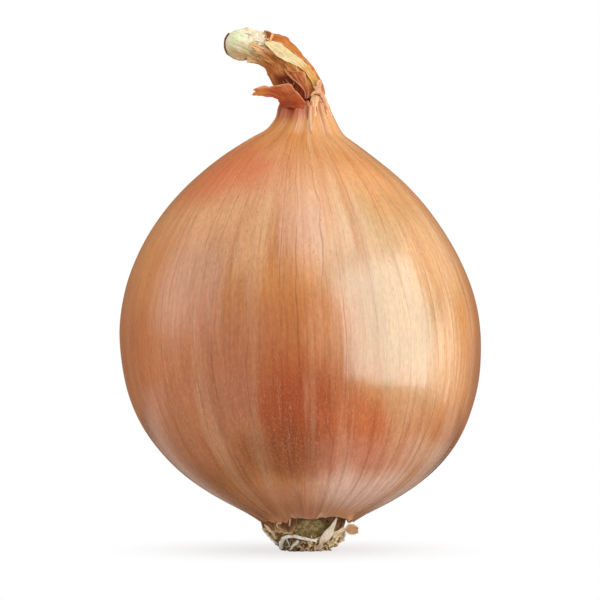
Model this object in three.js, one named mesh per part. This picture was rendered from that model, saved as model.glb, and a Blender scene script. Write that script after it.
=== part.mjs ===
// A whole yellow onion as it is sold: the bulb in its dry skin, the corky root plate with its dried
// rootlets, and the cured neck, a bent stalk that torn papery leaves wrap.
// Lengths are in millimetres, angles in degrees, and +Z runs up through the neck. The origin is the
// centre of the small flat under the root plate, on which the onion stands.
import * as THREE from 'three';
import { LoftGeometry } from 'three/addons/geometries/LoftGeometry.js';

// Driving dimensions
const GAP = 0.3;                       // clearance left between pieces that touch

const BULB_RADIUS = 40;                // half of the greatest width
const BELLY_HEIGHT = 47;               // height at which the bulb is widest
const BULB_FOOT = [9.9, 6.2];          // radius and height where the skin ends above the roots
const FOOT_HANDLE = [13, 9.7];         // where the meridian heads from the foot
const BELLY_REACH = [32, 14];          // how far the belly's curve holds below and above its height
const SHOULDER = [10.5, 91.3];         // radius and height where the shoulder turns into the collar
const SHOULDER_SLOPE = [20.6, -12.3];  // run of the shoulder outwards and down from there
const SHOULDER_TURN = 0.055;           // share of that run carried on into the collar
const COLLAR_HANDLE = [5.6, 97.5];     // where the meridian comes from at the collar's top
const COLLAR_TOP = [5, 99.5];          // radius and height where the collar meets the stalk
const BULB_LEAN = [[6, 0.7], [14, 0.8], [32, 0], [50, -0.6], [74, -1.3], [88, -1.1], [96, 0.2], [100, 0.3]];
const BULB_SIDES = 72;
const BULB_ROWS = 38;
const PLEATS = 13;                     // folds gathered round the collar
const PLEAT_DEPTH = 0.3;
const PLEAT_START = 86;

const PLATE_PROFILE = [[0, 5.6], [0.6, 6.5], [1.7, 7.4], [3.2, 8.3], [4.8, 8.9], [5.9, 8.7]];
const PLATE_SIDES = 36;

const STALK_PATH = [[0.4, 0, 99.8], [0.4, 0, 101.5], [-1.8, 0.3, 105], [-5.8, 0.3, 109.4],
  [-11.4, 0, 111.9], [-17.2, -0.2, 112]];
const STALK_RADIUS = [[0, 3.5], [2, 3.7], [6, 3.7], [12, 3.2], [17, 3.2], [21, 3.5], [24, 3.4]];
const STALK_TIP = 3;                   // length of the stalk's rounded end
const STALK_SIDES = 22;
const STALK_ROWS = 16;

const LEAF_THICKNESS = 0.5;
const LEAF_ROWS = 13;
const LEAF_COLUMNS = 8;

// Half of a strip's rounded section: how far each corner lies across it and through it
const STRIP_CORNERS = [[1, -0.4], [1, 0.4], [0.85, 1], [0, 1], [-0.85, 1], [-1, 0.4], [-1, -0.4],
  [-0.85, -1], [0, -1], [0.85, -1]];
const CUFF_THICKNESS = 0.5;
const CURL_THICKNESS = 0.45;

const ROOTLET_RADIUS = 0.4;
const ROOTLET_STANDOFF = 1.1;          // from the root plate's side to a rootlet's middle line
const ROOTLET_SIDES = 7;
const ROOTLET_ROWS = 10;

// Finishes
const FINISH = {
  skin: { color: 0xc98a58, roughness: 0.42 },
  rust: { color: 0xab612d, roughness: 0.6 },
  tan: { color: 0xb06e39, roughness: 0.65 },
  cream: { color: 0xf0d9ac, roughness: 0.7 },
  pith: { color: 0xcfc79a, roughness: 0.75 },
  cork: { color: 0x96704a, roughness: 0.9 },
  rootlet: { color: 0xd6c6ac, roughness: 0.75 },
};

const onion = new THREE.Group();

/** Adds one closed piece to the onion under its own name. */
function addPiece(name, geometry, finish) {
  const material = new THREE.MeshStandardMaterial({ ...finish, metalness: 0 });
  const piece = new THREE.Mesh(geometry, material);
  piece.name = name;
  onion.add(piece);
}

/** Skins sections that run from the start of a piece to its end, and closes both ends. */
function solid(sections) {
  return new LoftGeometry(sections, { capStart: true, capEnd: true });
}

/** Reads a table of [place, value] rows at a place between them, easing from row to row. */
function readTable(rows, place) {
  const next = rows.findIndex((row) => row[0] > place);
  if (next === 0) {
    return rows[0][1];
  }
  if (next < 0) {
    return rows[rows.length - 1][1];
  }
  const [low, high] = [rows[next - 1], rows[next]];
  return THREE.MathUtils.lerp(low[1], high[1], THREE.MathUtils.smoothstep(place, low[0], high[0]));
}

/** Makes a smooth line through [x, y, z] points. */
function smoothLine(points) {
  return new THREE.CatmullRomCurve3(points.map((point) => new THREE.Vector3(...point)));
}

/** A level ring, counterclockwise from above, whose radius is worked out from the angle. */
function levelRing(sides, centreX, height, radiusAt) {
  return Array.from({ length: sides }, (_, side) => {
    const angle = side / sides * 2 * Math.PI;
    const radius = radiusAt(angle);
    return new THREE.Vector3(centreX + radius * Math.cos(angle), radius * Math.sin(angle), height);
  });
}

/** The bulb's meridian, from the foot over the belly and the shoulder to the collar's top. */
function bulbMeridian() {
  const point = (radius, height) => new THREE.Vector2(radius, height);
  const shoulder = point(...SHOULDER);
  const slope = point(...SHOULDER_SLOPE);
  const belly = point(BULB_RADIUS, BELLY_HEIGHT);
  const meridian = new THREE.CurvePath();
  meridian.add(new THREE.CubicBezierCurve(point(...BULB_FOOT), point(...FOOT_HANDLE),
    point(BULB_RADIUS, BELLY_HEIGHT - BELLY_REACH[0]), belly));
  meridian.add(new THREE.CubicBezierCurve(belly, point(BULB_RADIUS, BELLY_HEIGHT + BELLY_REACH[1]),
    shoulder.clone().add(slope), shoulder));
  meridian.add(new THREE.CubicBezierCurve(shoulder, shoulder.clone().addScaledVector(slope, -SHOULDER_TURN),
    point(...COLLAR_HANDLE), point(...COLLAR_TOP)));
  return meridian;
}

/** The bulb: a nearly round body, gathered into pleats where the skin narrows to the neck. */
function bulbGeometry() {
  const sections = bulbMeridian().getSpacedPoints(BULB_ROWS).map(({ x: radius, y: height }) => {
    const pleat = PLEAT_DEPTH * THREE.MathUtils.smoothstep(height, PLEAT_START, COLLAR_TOP[1]);
    return levelRing(BULB_SIDES, readTable(BULB_LEAN, height), height, (angle) => {
      const facets = 0.006 * radius * Math.sin(3 * angle) + 0.003 * radius * Math.sin(7 * angle);
      return radius + facets + pleat * Math.sin(PLEATS * angle + Math.sin(2 * angle));
    });
  });
  return solid(sections);
}

/** The root plate: a low corky disc, uneven round its side and flat underneath. */
function plateGeometry() {
  const sections = PLATE_PROFILE.map(([height, radius]) => levelRing(PLATE_SIDES, 0, height, (angle) =>
    radius * (1 + 0.02 * Math.sin(5 * angle + height) + 0.015 * Math.sin(11 * angle - height))));
  return solid(sections);
}

const stalkLine = smoothLine(STALK_PATH);
const stalkLength = stalkLine.getLength();

/** A point beside the stalk: 0 faces the front, 90 its outer side, 180 the back, -90 its inner side. */
function besideStalk(station, degrees, distance) {
  const share = THREE.MathUtils.clamp(station / stalkLength, 0, 1);
  const along = stalkLine.getTangentAt(share);
  const front = new THREE.Vector3(0, -1, 0).addScaledVector(along, along.y).normalize();
  const outer = new THREE.Vector3().crossVectors(along, front);
  const angle = THREE.MathUtils.degToRad(degrees);
  return stalkLine.getPointAt(share)
    .addScaledVector(front, distance * Math.cos(angle))
    .addScaledVector(outer, distance * Math.sin(angle));
}

/** The stalk: a bent, lumpy core that ends in a rounded tip. */
function stalkGeometry() {
  const sections = [];
  const addRing = (station, shrink) => {
    const radius = readTable(STALK_RADIUS, station) * shrink;
    sections.push(Array.from({ length: STALK_SIDES }, (_, side) => {
      const degrees = side / STALK_SIDES * 360;
      const lump = 0.035 * Math.sin(THREE.MathUtils.degToRad(3 * degrees + 14 * station));
      return besideStalk(station, degrees, radius * (1 + lump));
    }));
  };
  const tipStart = stalkLength - STALK_TIP;
  for (let row = 0; row <= STALK_ROWS; row += 1) {
    addRing(tipStart * row / STALK_ROWS, 1);
  }
  for (const share of [0.35, 0.6, 0.8, 0.93, 1]) {
    addRing(tipStart + STALK_TIP * share, Math.sqrt(1.06 - share * share));
  }
  return solid(sections);
}

/**
 * A leaf that lies along the stalk. Each row of its outline holds a station along the stalk and the
 * two angles between which the leaf reaches round it there.
 */
function leafGeometry(outline, lift = 0) {
  const edge = smoothLine(outline);
  const sections = Array.from({ length: LEAF_ROWS }, (_, row) => {
    const { x: station, y: from, z: to } = edge.getPoint(row / (LEAF_ROWS - 1));
    const inner = readTable(STALK_RADIUS, station) * 1.035 + GAP + lift;
    const angleAt = (column) => THREE.MathUtils.lerp(from, to, column / (LEAF_COLUMNS - 1));
    const outside = Array.from({ length: LEAF_COLUMNS }, (_unused, column) =>
      besideStalk(station, angleAt(column), inner + LEAF_THICKNESS));
    const inside = Array.from({ length: LEAF_COLUMNS }, (_unused, column) =>
      besideStalk(station, angleAt(LEAF_COLUMNS - 1 - column), inner));
    return [...outside, ...inside];
  });
  return solid(sections);
}

/** A round strand along a line of points, whose radius tapers from its start to its end. */
function strandGeometry(points, startRadius, endRadius, sides, rows) {
  const line = smoothLine(points);
  const frames = line.computeFrenetFrames(rows, false);
  const sections = frames.tangents.map((_, row) => {
    const share = row / rows;
    const radius = THREE.MathUtils.lerp(startRadius, endRadius, share);
    return Array.from({ length: sides }, (_unused, side) => {
      const angle = side / sides * 2 * Math.PI;
      return line.getPointAt(share)
        .addScaledVector(frames.normals[row], radius * Math.cos(angle))
        .addScaledVector(frames.binormals[row], radius * Math.sin(angle));
    });
  });
  return solid(sections);
}

/** A flat strip along a line of points, spread to both sides of it in one direction. */
function stripGeometry(points, widths, thickness, spread, rows) {
  const line = smoothLine(points);
  const sections = Array.from({ length: rows + 1 }, (_, row) => {
    const share = row / rows;
    const along = line.getTangentAt(share);
    const across = new THREE.Vector3(...spread);
    across.addScaledVector(along, -along.dot(across)).normalize();
    const through = new THREE.Vector3().crossVectors(along, across);
    const width = readTable(widths, share);
    return STRIP_CORNERS.map(([wide, deep]) => line.getPointAt(share)
      .addScaledVector(across, wide * width / 2)
      .addScaledVector(through, deep * thickness / 2));
  });
  return solid(sections);
}

/** Puts [x, height] points on the front of the root plate, a little clear of its side. */
function onPlateFront(points) {
  return points.map(([x, height]) => {
    const reach = readTable(PLATE_PROFILE, height) + ROOTLET_STANDOFF;
    return [x, -Math.sqrt(reach * reach - x * x), height];
  });
}

/** A rootlet that leaves the plate's side at an angle round it, drops and hooks sideways. */
function hookedRootlet(degrees, length, hook) {
  const angle = THREE.MathUtils.degToRad(degrees);
  return [0, 0.35, 0.7, 1].map((share) => {
    const height = THREE.MathUtils.lerp(4.8, 4.8 - length, share);
    const reach = readTable(PLATE_PROFILE, height) + ROOTLET_STANDOFF + 0.3 * Math.sin(Math.PI * share);
    const turn = angle + hook * share * share;
    return [reach * Math.cos(turn), reach * Math.sin(turn), height];
  });
}

// The bulb and the root plate
addPiece('bulb', bulbGeometry(), FINISH.skin);
addPiece('root_plate', plateGeometry(), FINISH.cork);

// The neck: the stalk and the leaves that wrap it
addPiece('neck_stalk', stalkGeometry(), FINISH.pith);
addPiece('outer_leaf',
  leafGeometry([[0, 58, 196], [4, 58, 198], [9, 52, 190], [12.5, 48, 180], [15.5, 56, 165]]), FINISH.rust);
addPiece('cream_leaf',
  leafGeometry([[0.8, 42, 52], [5.5, 34, 52], [9, 12, 44], [12, 4, 36], [15.6, 6, 14]]), FINISH.cream);
addPiece('front_leaf',
  leafGeometry([[0.6, 16, 36], [3, -50, 34], [6, -92, 24], [10, -96, 2], [16.5, -84, -4]]), FINISH.tan);
addPiece('back_leaf',
  leafGeometry([[0, 204, 268], [5, 206, 262], [10, 200, 256], [14.5, 200, 236]]), FINISH.tan);
addPiece('tip_leaf',
  leafGeometry([[17.5, 100, 150], [19, 84, 200], [21, 92, 220], [22.4, 110, 200]]), FINISH.rust);

// The torn cuff round the front of the neck, its strip reaching out to the left
const CUFF_LINE = [[1.6, -5, 101.2], [-0.8, -5.3, 101.6], [-3.6, -4.4, 101.7], [-6, -3.3, 101.6],
  [-8.8, -2.9, 101.5], [-11.5, -2.4, 101.6]];
const CUFF_WIDTHS = [[0, 1.6], [0.2, 3.2], [0.45, 3.4], [0.6, 2.2], [1, 1.9]];
addPiece('torn_cuff', stripGeometry(CUFF_LINE, CUFF_WIDTHS, CUFF_THICKNESS, [0, 0, 1], 18), FINISH.rust);

// Twisted ends of skin on the right of the neck, and one strand that hangs over the collar
const KNOT_LINE = [[3, -4.8, 100.6], [3.7, -4.5, 101.6], [3.4, -4.5, 102.6], [4, -4, 103.8]];
const STRAND_LINE = [[2.3, -5.2, 99.6], [2.2, -6.9, 97.6], [1.9, -8.5, 95], [1.8, -10.9, 92.4]];
addPiece('neck_knot', strandGeometry(KNOT_LINE, 0.75, 0.45, 9, 12), FINISH.cream);
addPiece('hanging_strand', strandGeometry(STRAND_LINE, 0.45, 0.3, 8, 10), FINISH.cream);

// Torn ends of skin beside the roots
const RIGHT_CURL = [[7.8, -6.6, 5], [9.3, -5.9, 4.9], [10.8, -4.9, 4.5], [11.7, -3.6, 4.9]];
const LEFT_CURL = [[-9.6, -4.4, 4.9], [-8.3, -6.4, 4.6], [-6.9, -7.3, 3.8], [-6.1, -7.4, 2.7]];
addPiece('root_curl_right',
  stripGeometry(RIGHT_CURL, [[0, 1], [0.4, 1.9], [1, 1.1]], CURL_THICKNESS, [0.2, 0, 1], 8), FINISH.cream);
addPiece('root_curl_left',
  stripGeometry(LEFT_CURL, [[0, 0.7], [0.5, 1.1], [1, 0.6]], CURL_THICKNESS, [0, 0, 1], 8), FINISH.cream);

// Rootlets: the ones across the front as they lie, and shorter hooks round the sides and the back
const FRONT_ROOTLETS = [
  [[-4.9, 0.9], [-4.8, 2.1], [-4.1, 3.2], [-2.4, 3.5], [-0.2, 3.4], [1.6, 2.9], [2.6, 2.4]],
  [[7.4, 5.4], [6.4, 4.9], [5.4, 3.9], [4.7, 2.6], [4.1, 1.5], [2.9, 0.7]],
  [[-1.1, 2.2], [-1.9, 1.5], [-2.7, 0.6]],
  [[-3.4, 5.2], [-4.6, 5], [-5.3, 4.1]],
  [[0.4, 5.2], [1.1, 4.8], [2.2, 4.9]],
].map(onPlateFront);
const HOOKED_ROOTLETS = [[18, 3.6, -0.2], [50, 3, 0.3], [86, 4, 0.35], [126, 2.6, -0.3], [150, 3.8, 0.25],
  [186, 3.2, 0.2], [344, 2.8, 0.1]].map((shape) => hookedRootlet(...shape));
[...FRONT_ROOTLETS, ...HOOKED_ROOTLETS].forEach((points, index) => {
  const rootlet = strandGeometry(points, ROOTLET_RADIUS, ROOTLET_RADIUS * 0.6, ROOTLET_SIDES, ROOTLET_ROWS);
  addPiece(`rootlet_${index + 1}`, rootlet, FINISH.rootlet);
});

export default onion;
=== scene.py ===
"""A whole yellow onion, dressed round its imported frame.

The bulb's papery skin, the root plate with its dried rootlets, and the bent neck that torn leaves
wrap. Classes hold their sizes in millimetres and angles in degrees, and meshes are made in metres.
+Z runs up through the neck, the front faces -Y, and the neck bends towards -X.
"""

import logging
import math
from dataclasses import dataclass, field
from enum import Enum
from typing import Any, Callable, Iterable, Optional, Sequence, Union

import bmesh
import bpy
from bpy.types import ColorRamp, CurveMapping, Material, Mesh, NodeSocket, NodeTree, Object
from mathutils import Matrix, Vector, noise


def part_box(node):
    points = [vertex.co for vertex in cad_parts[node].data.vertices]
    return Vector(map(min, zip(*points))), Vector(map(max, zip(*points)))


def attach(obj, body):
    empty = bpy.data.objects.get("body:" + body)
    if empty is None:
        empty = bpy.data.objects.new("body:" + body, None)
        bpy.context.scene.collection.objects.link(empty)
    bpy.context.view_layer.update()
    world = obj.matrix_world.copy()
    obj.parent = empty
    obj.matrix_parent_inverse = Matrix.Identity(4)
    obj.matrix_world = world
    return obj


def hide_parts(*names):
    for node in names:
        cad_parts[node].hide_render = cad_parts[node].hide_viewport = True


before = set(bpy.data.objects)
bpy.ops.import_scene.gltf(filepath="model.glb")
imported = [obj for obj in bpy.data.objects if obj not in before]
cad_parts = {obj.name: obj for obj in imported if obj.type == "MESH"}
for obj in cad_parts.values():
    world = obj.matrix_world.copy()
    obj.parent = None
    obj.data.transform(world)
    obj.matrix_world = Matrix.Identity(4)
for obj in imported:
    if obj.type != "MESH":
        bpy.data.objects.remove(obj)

LOG = logging.getLogger("onion")
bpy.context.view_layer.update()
MM = 0.001
TURN = 2.0 * math.pi
TORN_EDGE = 0.2  # half a sheet's thickness at its edge, as a share of its thickness
WHITE, BLACK = (255, 255, 255), (0, 0, 0)
APART = 40.0  # from one leaf's marks to the next one's, so that no two have the same fibres

Triple = tuple[float, float, float]
Colour = Triple  # everyday red, green and blue from 0 to 255
Points = Sequence[Sequence[float]]
Table = Sequence[tuple[float, float]]
Patch = tuple[Colour, Triple, Triple, float]  # a soft patch's tone, middle, reach and weight


def linear(colour: Colour) -> Triple:
    """Turns an everyday 0 to 255 colour into the linear one that shaders take.

    Args:
        colour: The everyday colour.

    Returns:
        The linear colour.
    """
    shares = [channel / 255.0 for channel in colour]
    return tuple(share / 12.92 if share <= 0.04045 else ((share + 0.055) / 1.055) ** 2.4
                 for share in shares)


def ease(low: float, high: float, value: float) -> float:
    """Rises smoothly from 0 at low to 1 at high, which may be less than low."""
    share = min(max((value - low) / (high - low), 0.0), 1.0)
    return share * share * (3.0 - 2.0 * share)


def lerp(start: float, end: float, share: float) -> float:
    """Goes from start to end by a share."""
    return start + (end - start) * share


def read_table(rows: Table, place: float) -> float:
    """Reads a table of (place, value) rows at a place between them, easing from row to row.

    Args:
        rows: Rows with rising places.
        place: Where to read.

    Returns:
        The value there.
    """
    if place <= rows[0][0]:
        return rows[0][1]
    for low, high in zip(rows, rows[1:]):
        if place <= high[0]:
            return lerp(low[1], high[1], ease(low[0], high[0], place))
    return rows[-1][1]


def grain(seed: float, *coordinates: float) -> float:
    """Reads smooth noise from about -1 to 1 at up to three coordinates; each seed has its own."""
    spot = Vector((*coordinates, 0.0, 0.0)[:3])
    return noise.noise(spot + Vector((seed * 17.3, seed * 5.9, seed * 11.1)))


# Node trees


class Value:
    """A number socket of a node tree, on which arithmetic adds Math nodes."""

    def __init__(self, tree: "Tree", socket: NodeSocket) -> None:
        """Wraps an output socket of a tree."""
        self.tree = tree
        self.socket = socket

    def math(self, operation: str, *operands: Any, flip: bool = False) -> "Value":
        """Adds a Math node on this value and the operands, this value last where flip says so."""
        row = [*operands, self] if flip else [self, *operands]
        return self.tree.add("ShaderNodeMath", {"operation": operation}, dict(enumerate(row)))

    def __add__(self, other: Any) -> "Value":
        """Adds."""
        return self.math("ADD", other)

    def __sub__(self, other: Any) -> "Value":
        """Subtracts."""
        return self.math("SUBTRACT", other)

    def __mul__(self, other: Any) -> "Value":
        """Multiplies."""
        return self.math("MULTIPLY", other)

    def __truediv__(self, other: Any) -> "Value":
        """Divides."""
        return self.math("DIVIDE", other)

    def __radd__(self, other: Any) -> "Value":
        """Adds to a plain number."""
        return self.math("ADD", other, flip=True)

    def __rsub__(self, other: Any) -> "Value":
        """Subtracts from a plain number."""
        return self.math("SUBTRACT", other, flip=True)

    def __rmul__(self, other: Any) -> "Value":
        """Multiplies a plain number."""
        return self.math("MULTIPLY", other, flip=True)

    def span(self, low: float, high: float, start: float = 0.0, end: float = 1.0) -> "Value":
        """Maps low to start and high to end, smoothly and held at both ends."""
        ports = {"Value": self, "From Min": low, "From Max": high, "To Min": start, "To Max": end}
        return self.tree.add("ShaderNodeMapRange", {"interpolation_type": "SMOOTHSTEP"}, ports)


class Tree:
    """A node tree written as expressions."""

    def __init__(self, tree: NodeTree) -> None:
        """Wraps the node tree to add to."""
        self.tree = tree

    @staticmethod
    def pick(sockets: Iterable[NodeSocket], key: Union[int, str]) -> NodeSocket:
        """Finds a socket by its number, its identifier or its name.

        Args:
            sockets: A node's inputs or outputs.
            key: The number, identifier or name.

        Returns:
            The socket.
        """
        row = list(sockets)
        if isinstance(key, int):
            return row[key]
        named = [socket for socket in row if socket.identifier == key]
        return (named or [socket for socket in row if socket.name == key])[0]

    def add(self, kind: str, settings: Optional[dict[str, Any]] = None,
            ports: Optional[dict[Union[int, str], Any]] = None,
            output: Union[int, str] = 0) -> Value:
        """Adds a node.

        Args:
            kind: The node's type.
            settings: Its settings, set first. "stops" are a colour ramp's (place, colour) rows and
                "points" a curve's.
            ports: Values or links of its inputs.
            output: Which output to return.

        Returns:
            The output asked for.
        """
        node = self.tree.nodes.new(kind)
        for name, value in (settings or {}).items():
            if name == "stops":
                self._set_stops(node.color_ramp, value)
            elif name == "points":
                self._set_points(node.mapping, value)
            else:
                setattr(node, name, value)
        for key, value in (ports or {}).items():
            self.feed(self.pick(node.inputs, key), value)
        return Value(self, self.pick(node.outputs, output))

    def feed(self, socket: NodeSocket, value: Any) -> None:
        """Links an output to an input, or sets the input to a plain value.

        Args:
            socket: The input.
            value: A Value, or a number, string, everyday colour or vector.
        """
        if isinstance(value, Value):
            self.tree.links.new(value.socket, socket)
        elif socket.type == "RGBA":
            socket.default_value = (*linear(value), 1.0)
        else:
            socket.default_value = value

    @staticmethod
    def _set_stops(ramp: ColorRamp, stops: Sequence[tuple[float, Colour]]) -> None:
        """Sets a colour ramp's stops.

        Args:
            ramp: The ramp.
            stops: Its (place, colour) rows.
        """
        while len(ramp.elements) < len(stops):
            ramp.elements.new(1.0)
        for element, (place, colour) in zip(ramp.elements, stops):
            element.position = place
            element.color = (*linear(colour), 1.0)

    @staticmethod
    def _set_points(mapping: CurveMapping, points: Table) -> None:
        """Sets a curve's points.

        Args:
            mapping: The curve mapping.
            points: Its points, with both coordinates from 0 to 1.
        """
        curve = mapping.curves[0]
        while len(curve.points) < len(points):
            curve.points.new(0.5, 0.5)
        for point, place in zip(curve.points, points):
            point.location = place
        mapping.update()

    def vector(self, x: Any, y: Any, z: Any) -> Value:
        """Joins three numbers into a vector."""
        return self.add("ShaderNodeCombineXYZ", ports={0: x, 1: y, 2: z})

    def split(self, vector: Value) -> tuple[Value, Value, Value]:
        """Splits a vector into its three numbers.

        Args:
            vector: The vector.

        Returns:
            Its x, y and z.
        """
        first = self.add("ShaderNodeSeparateXYZ", ports={0: vector})
        node = first.socket.node
        return first, Value(self, node.outputs[1]), Value(self, node.outputs[2])

    def stretch(self, vector: Value, factors: Triple) -> Value:
        """Multiplies a vector by three factors."""
        return self.add("ShaderNodeVectorMath", {"operation": "MULTIPLY"}, {0: vector, 1: factors})

    def move(self, vector: Value, by: Any) -> Value:
        """Adds a vector to a vector."""
        return self.add("ShaderNodeVectorMath", {"operation": "ADD"}, {0: vector, 1: by})

    def noise(self, vector: Value, factors: Triple, detail: float = 2.0,
              roughness: float = 0.5) -> Value:
        """Reads noise at a stretched vector.

        Args:
            vector: Where to read.
            factors: Noise cells to a unit along each axis.
            detail: How many finer layers are added.
            roughness: How strong those are.

        Returns:
            The noise, mostly between 0.25 and 0.75.
        """
        ports = {"Vector": self.stretch(vector, factors), "Scale": 1.0, "Detail": detail,
                 "Roughness": roughness}
        return self.add("ShaderNodeTexNoise", ports=ports)

    def blend(self, start: Any, end: Any, share: Any, mode: str = "MIX") -> Value:
        """Mixes two colours.

        Args:
            start: The first colour.
            end: The second colour.
            share: How much of the second there is, as a number or a Value.
            mode: How they mix.

        Returns:
            The mixed colour.
        """
        ports = {"Factor_Float": share, "A_Color": start, "B_Color": end}
        settings = {"data_type": "RGBA", "blend_type": mode}
        return self.add("ShaderNodeMix", settings, ports, "Result_Color")

    def shade(self, colour: Any, pattern: Value, light: float, dark: float) -> Value:
        """Multiplies a colour by light in a pattern's hollows and by dark on its heights."""
        return self.blend(colour, pattern.span(0.3, 0.7, light, dark), 1.0, "MULTIPLY")

    def end(self, kind: str, shader: Value) -> None:
        """Ends a shader tree in an output node of the given type."""
        self.tree.links.new(shader.socket, self.tree.nodes.new(kind).inputs["Surface"])


class GeometryTree(Tree):
    """A geometry node tree with named sizes, whose result is baked to a plain mesh."""

    def __init__(self, name: str, sizes: dict[str, float]) -> None:
        """Makes the tree with its inputs.

        Args:
            name: The tree's name.
            sizes: Each size's name and value.
        """
        super().__init__(bpy.data.node_groups.new(name, "GeometryNodeTree"))
        self.sizes = sizes
        face = self.tree.interface
        face.new_socket("Geometry", in_out="INPUT", socket_type="NodeSocketGeometry")
        self.identifiers = {}
        for size_name in sizes:
            socket = face.new_socket(size_name, in_out="INPUT", socket_type="NodeSocketFloat")
            self.identifiers[size_name] = socket.identifier
        face.new_socket("Geometry", in_out="OUTPUT", socket_type="NodeSocketGeometry")
        self.start = self.tree.nodes.new("NodeGroupInput")
        self.source = Value(self, self.start.outputs[0])

    def size(self, name: str) -> Value:
        """Gives one of the named sizes."""
        return Value(self, self.pick(self.start.outputs, name))

    def keep(self, geometry: Value, mark: Value) -> Value:
        """Keeps a mark on each point as the attribute that the finishes read.

        Args:
            geometry: The points.
            mark: Their mark.

        Returns:
            The points with the mark on them.
        """
        settings = {"data_type": "FLOAT_VECTOR", "domain": "POINT"}
        ports = {"Geometry": geometry, "Name": "mark", "Value": mark}
        return self.add("GeometryNodeStoreNamedAttribute", settings, ports)

    def close(self, geometry: Value, material: Material) -> None:
        """Ends the tree in Realize Instances and Set Material.

        Args:
            geometry: What the tree has made.
            material: Its material.
        """
        real = self.add("GeometryNodeRealizeInstances", ports={"Geometry": geometry})
        ports = {"Geometry": real, "Material": material}
        dressed = self.add("GeometryNodeSetMaterial", ports=ports)
        end = self.tree.nodes.new("NodeGroupOutput")
        self.tree.links.new(dressed.socket, end.inputs[0])

    def bake(self, name: str, source: Object) -> Object:
        """Runs the tree on an object and turns the result into a plain mesh object.

        Args:
            name: The new object's name.
            source: The object that the tree reads; it is removed.

        Returns:
            The new object.
        """
        modifier = source.modifiers.new("nodes", "NODES")
        modifier.node_group = self.tree
        for size_name, value in self.sizes.items():
            modifier[self.identifiers[size_name]] = value
        depsgraph = bpy.context.evaluated_depsgraph_get()
        mesh = bpy.data.meshes.new_from_object(source.evaluated_get(depsgraph), depsgraph=depsgraph)
        mesh.name = name
        bpy.data.objects.remove(source)
        return show(name, mesh)


# Mesh helpers


def show(name: str, data: Any) -> Object:
    """Puts a mesh or curve into the scene, smooth shaded.

    Args:
        name: The object's name.
        data: The mesh or curve.

    Returns:
        The new object.
    """
    thing = bpy.data.objects.new(name, data)
    bpy.context.scene.collection.objects.link(thing)
    if isinstance(data, Mesh):
        data.shade_smooth()
    return thing


def build(name: str, points: Sequence[Vector], faces: Sequence[Sequence[int]],
          marks: Sequence[Triple], material: Material) -> Object:
    """Makes a closed mesh object from points in millimetres.

    Args:
        name: The object's name.
        points: Its vertices.
        faces: Its faces.
        marks: Three numbers kept at each vertex for the material, as the attribute "mark".
        material: Its material.

    Returns:
        The new object, its faces turned outwards.
    """
    mesh = bpy.data.meshes.new(name)
    mesh.from_pydata([point * MM for point in points], [], faces)
    layer = mesh.attributes.new("mark", "FLOAT_VECTOR", "POINT")
    layer.data.foreach_set("vector", [number for mark in marks for number in mark])
    work = bmesh.new()
    work.from_mesh(mesh)
    bmesh.ops.recalc_face_normals(work, faces=work.faces)
    work.to_mesh(mesh)
    work.free()
    mesh.materials.append(material)
    return show(name, mesh)


def loft(name: str, rings: Sequence[Sequence[Vector]], marks: Sequence[Sequence[Triple]],
         material: Material) -> Object:
    """Skins closed rings into a solid with both ends drawn to a point.

    Args:
        name: The object's name.
        rings: The rings, each with as many points.
        marks: A mark for each point.
        material: Its material.

    Returns:
        The new object.
    """
    sides = len(rings[0])
    points = [point for ring in rings for point in ring]
    labels = [mark for row in marks for mark in row]
    turns = [(side, (side + 1) % sides) for side in range(sides)]
    faces = []
    for low in range(0, sides * (len(rings) - 1), sides):
        high = low + sides
        faces += [(low + side, low + following, high + following, high + side)
                  for side, following in turns]
    for row in (0, len(rings) - 1):
        low = row * sides
        faces += [(low + side, low + following, len(points)) for side, following in turns]
        points.append(sum(rings[row], Vector()) / sides)
        labels.append(marks[row][0])
    return build(name, points, faces, labels, material)


@dataclass
class Spot:
    """A point of a thin sheet: where it is, which way its face looks, and its mark."""

    place: Vector
    facing: Vector
    mark: Triple


def sheet(name: str, rows: int, columns: int, spot: Callable[[float, float], Spot],
          thickness: float, material: Material) -> Object:
    """Makes a thin closed sheet, thinner at its torn edges.

    Args:
        name: The object's name.
        rows: Rows of spots along it.
        columns: Spots in a row.
        spot: Gives the spot at a share of the way along and a share of the way across.
        thickness: The sheet's thickness in millimetres.
        material: Its material.

    Returns:
        The new object.
    """
    spots = [[spot(row / (rows - 1), column / (columns - 1)) for column in range(columns)]
             for row in range(rows)]
    points, marks, faces = [], [], []
    for side in (1, -1):
        for row in range(rows):
            for column, here in enumerate(spots[row]):
                torn = row in (0, rows - 1) or column in (0, columns - 1)
                half = side * thickness * (TORN_EDGE if torn else 0.5)
                points.append(here.place + here.facing * half)
                marks.append(here.mark)
    under = rows * columns
    for row in range(rows - 1):
        for corner in range(row * columns, row * columns + columns - 1):
            quad = (corner, corner + 1, corner + columns + 1, corner + columns)
            faces += [quad, tuple(under + index for index in reversed(quad))]
    rim = list(range(columns))
    rim += [row * columns + columns - 1 for row in range(1, rows)]
    rim += [(rows - 1) * columns + column for column in range(columns - 2, -1, -1)]
    rim += [row * columns for row in range(rows - 2, 0, -1)]
    for first, second in zip(rim, rim[1:] + rim[:1]):
        faces.append((first, second, under + second, under + first))
    return build(name, points, faces, marks, material)


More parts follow.
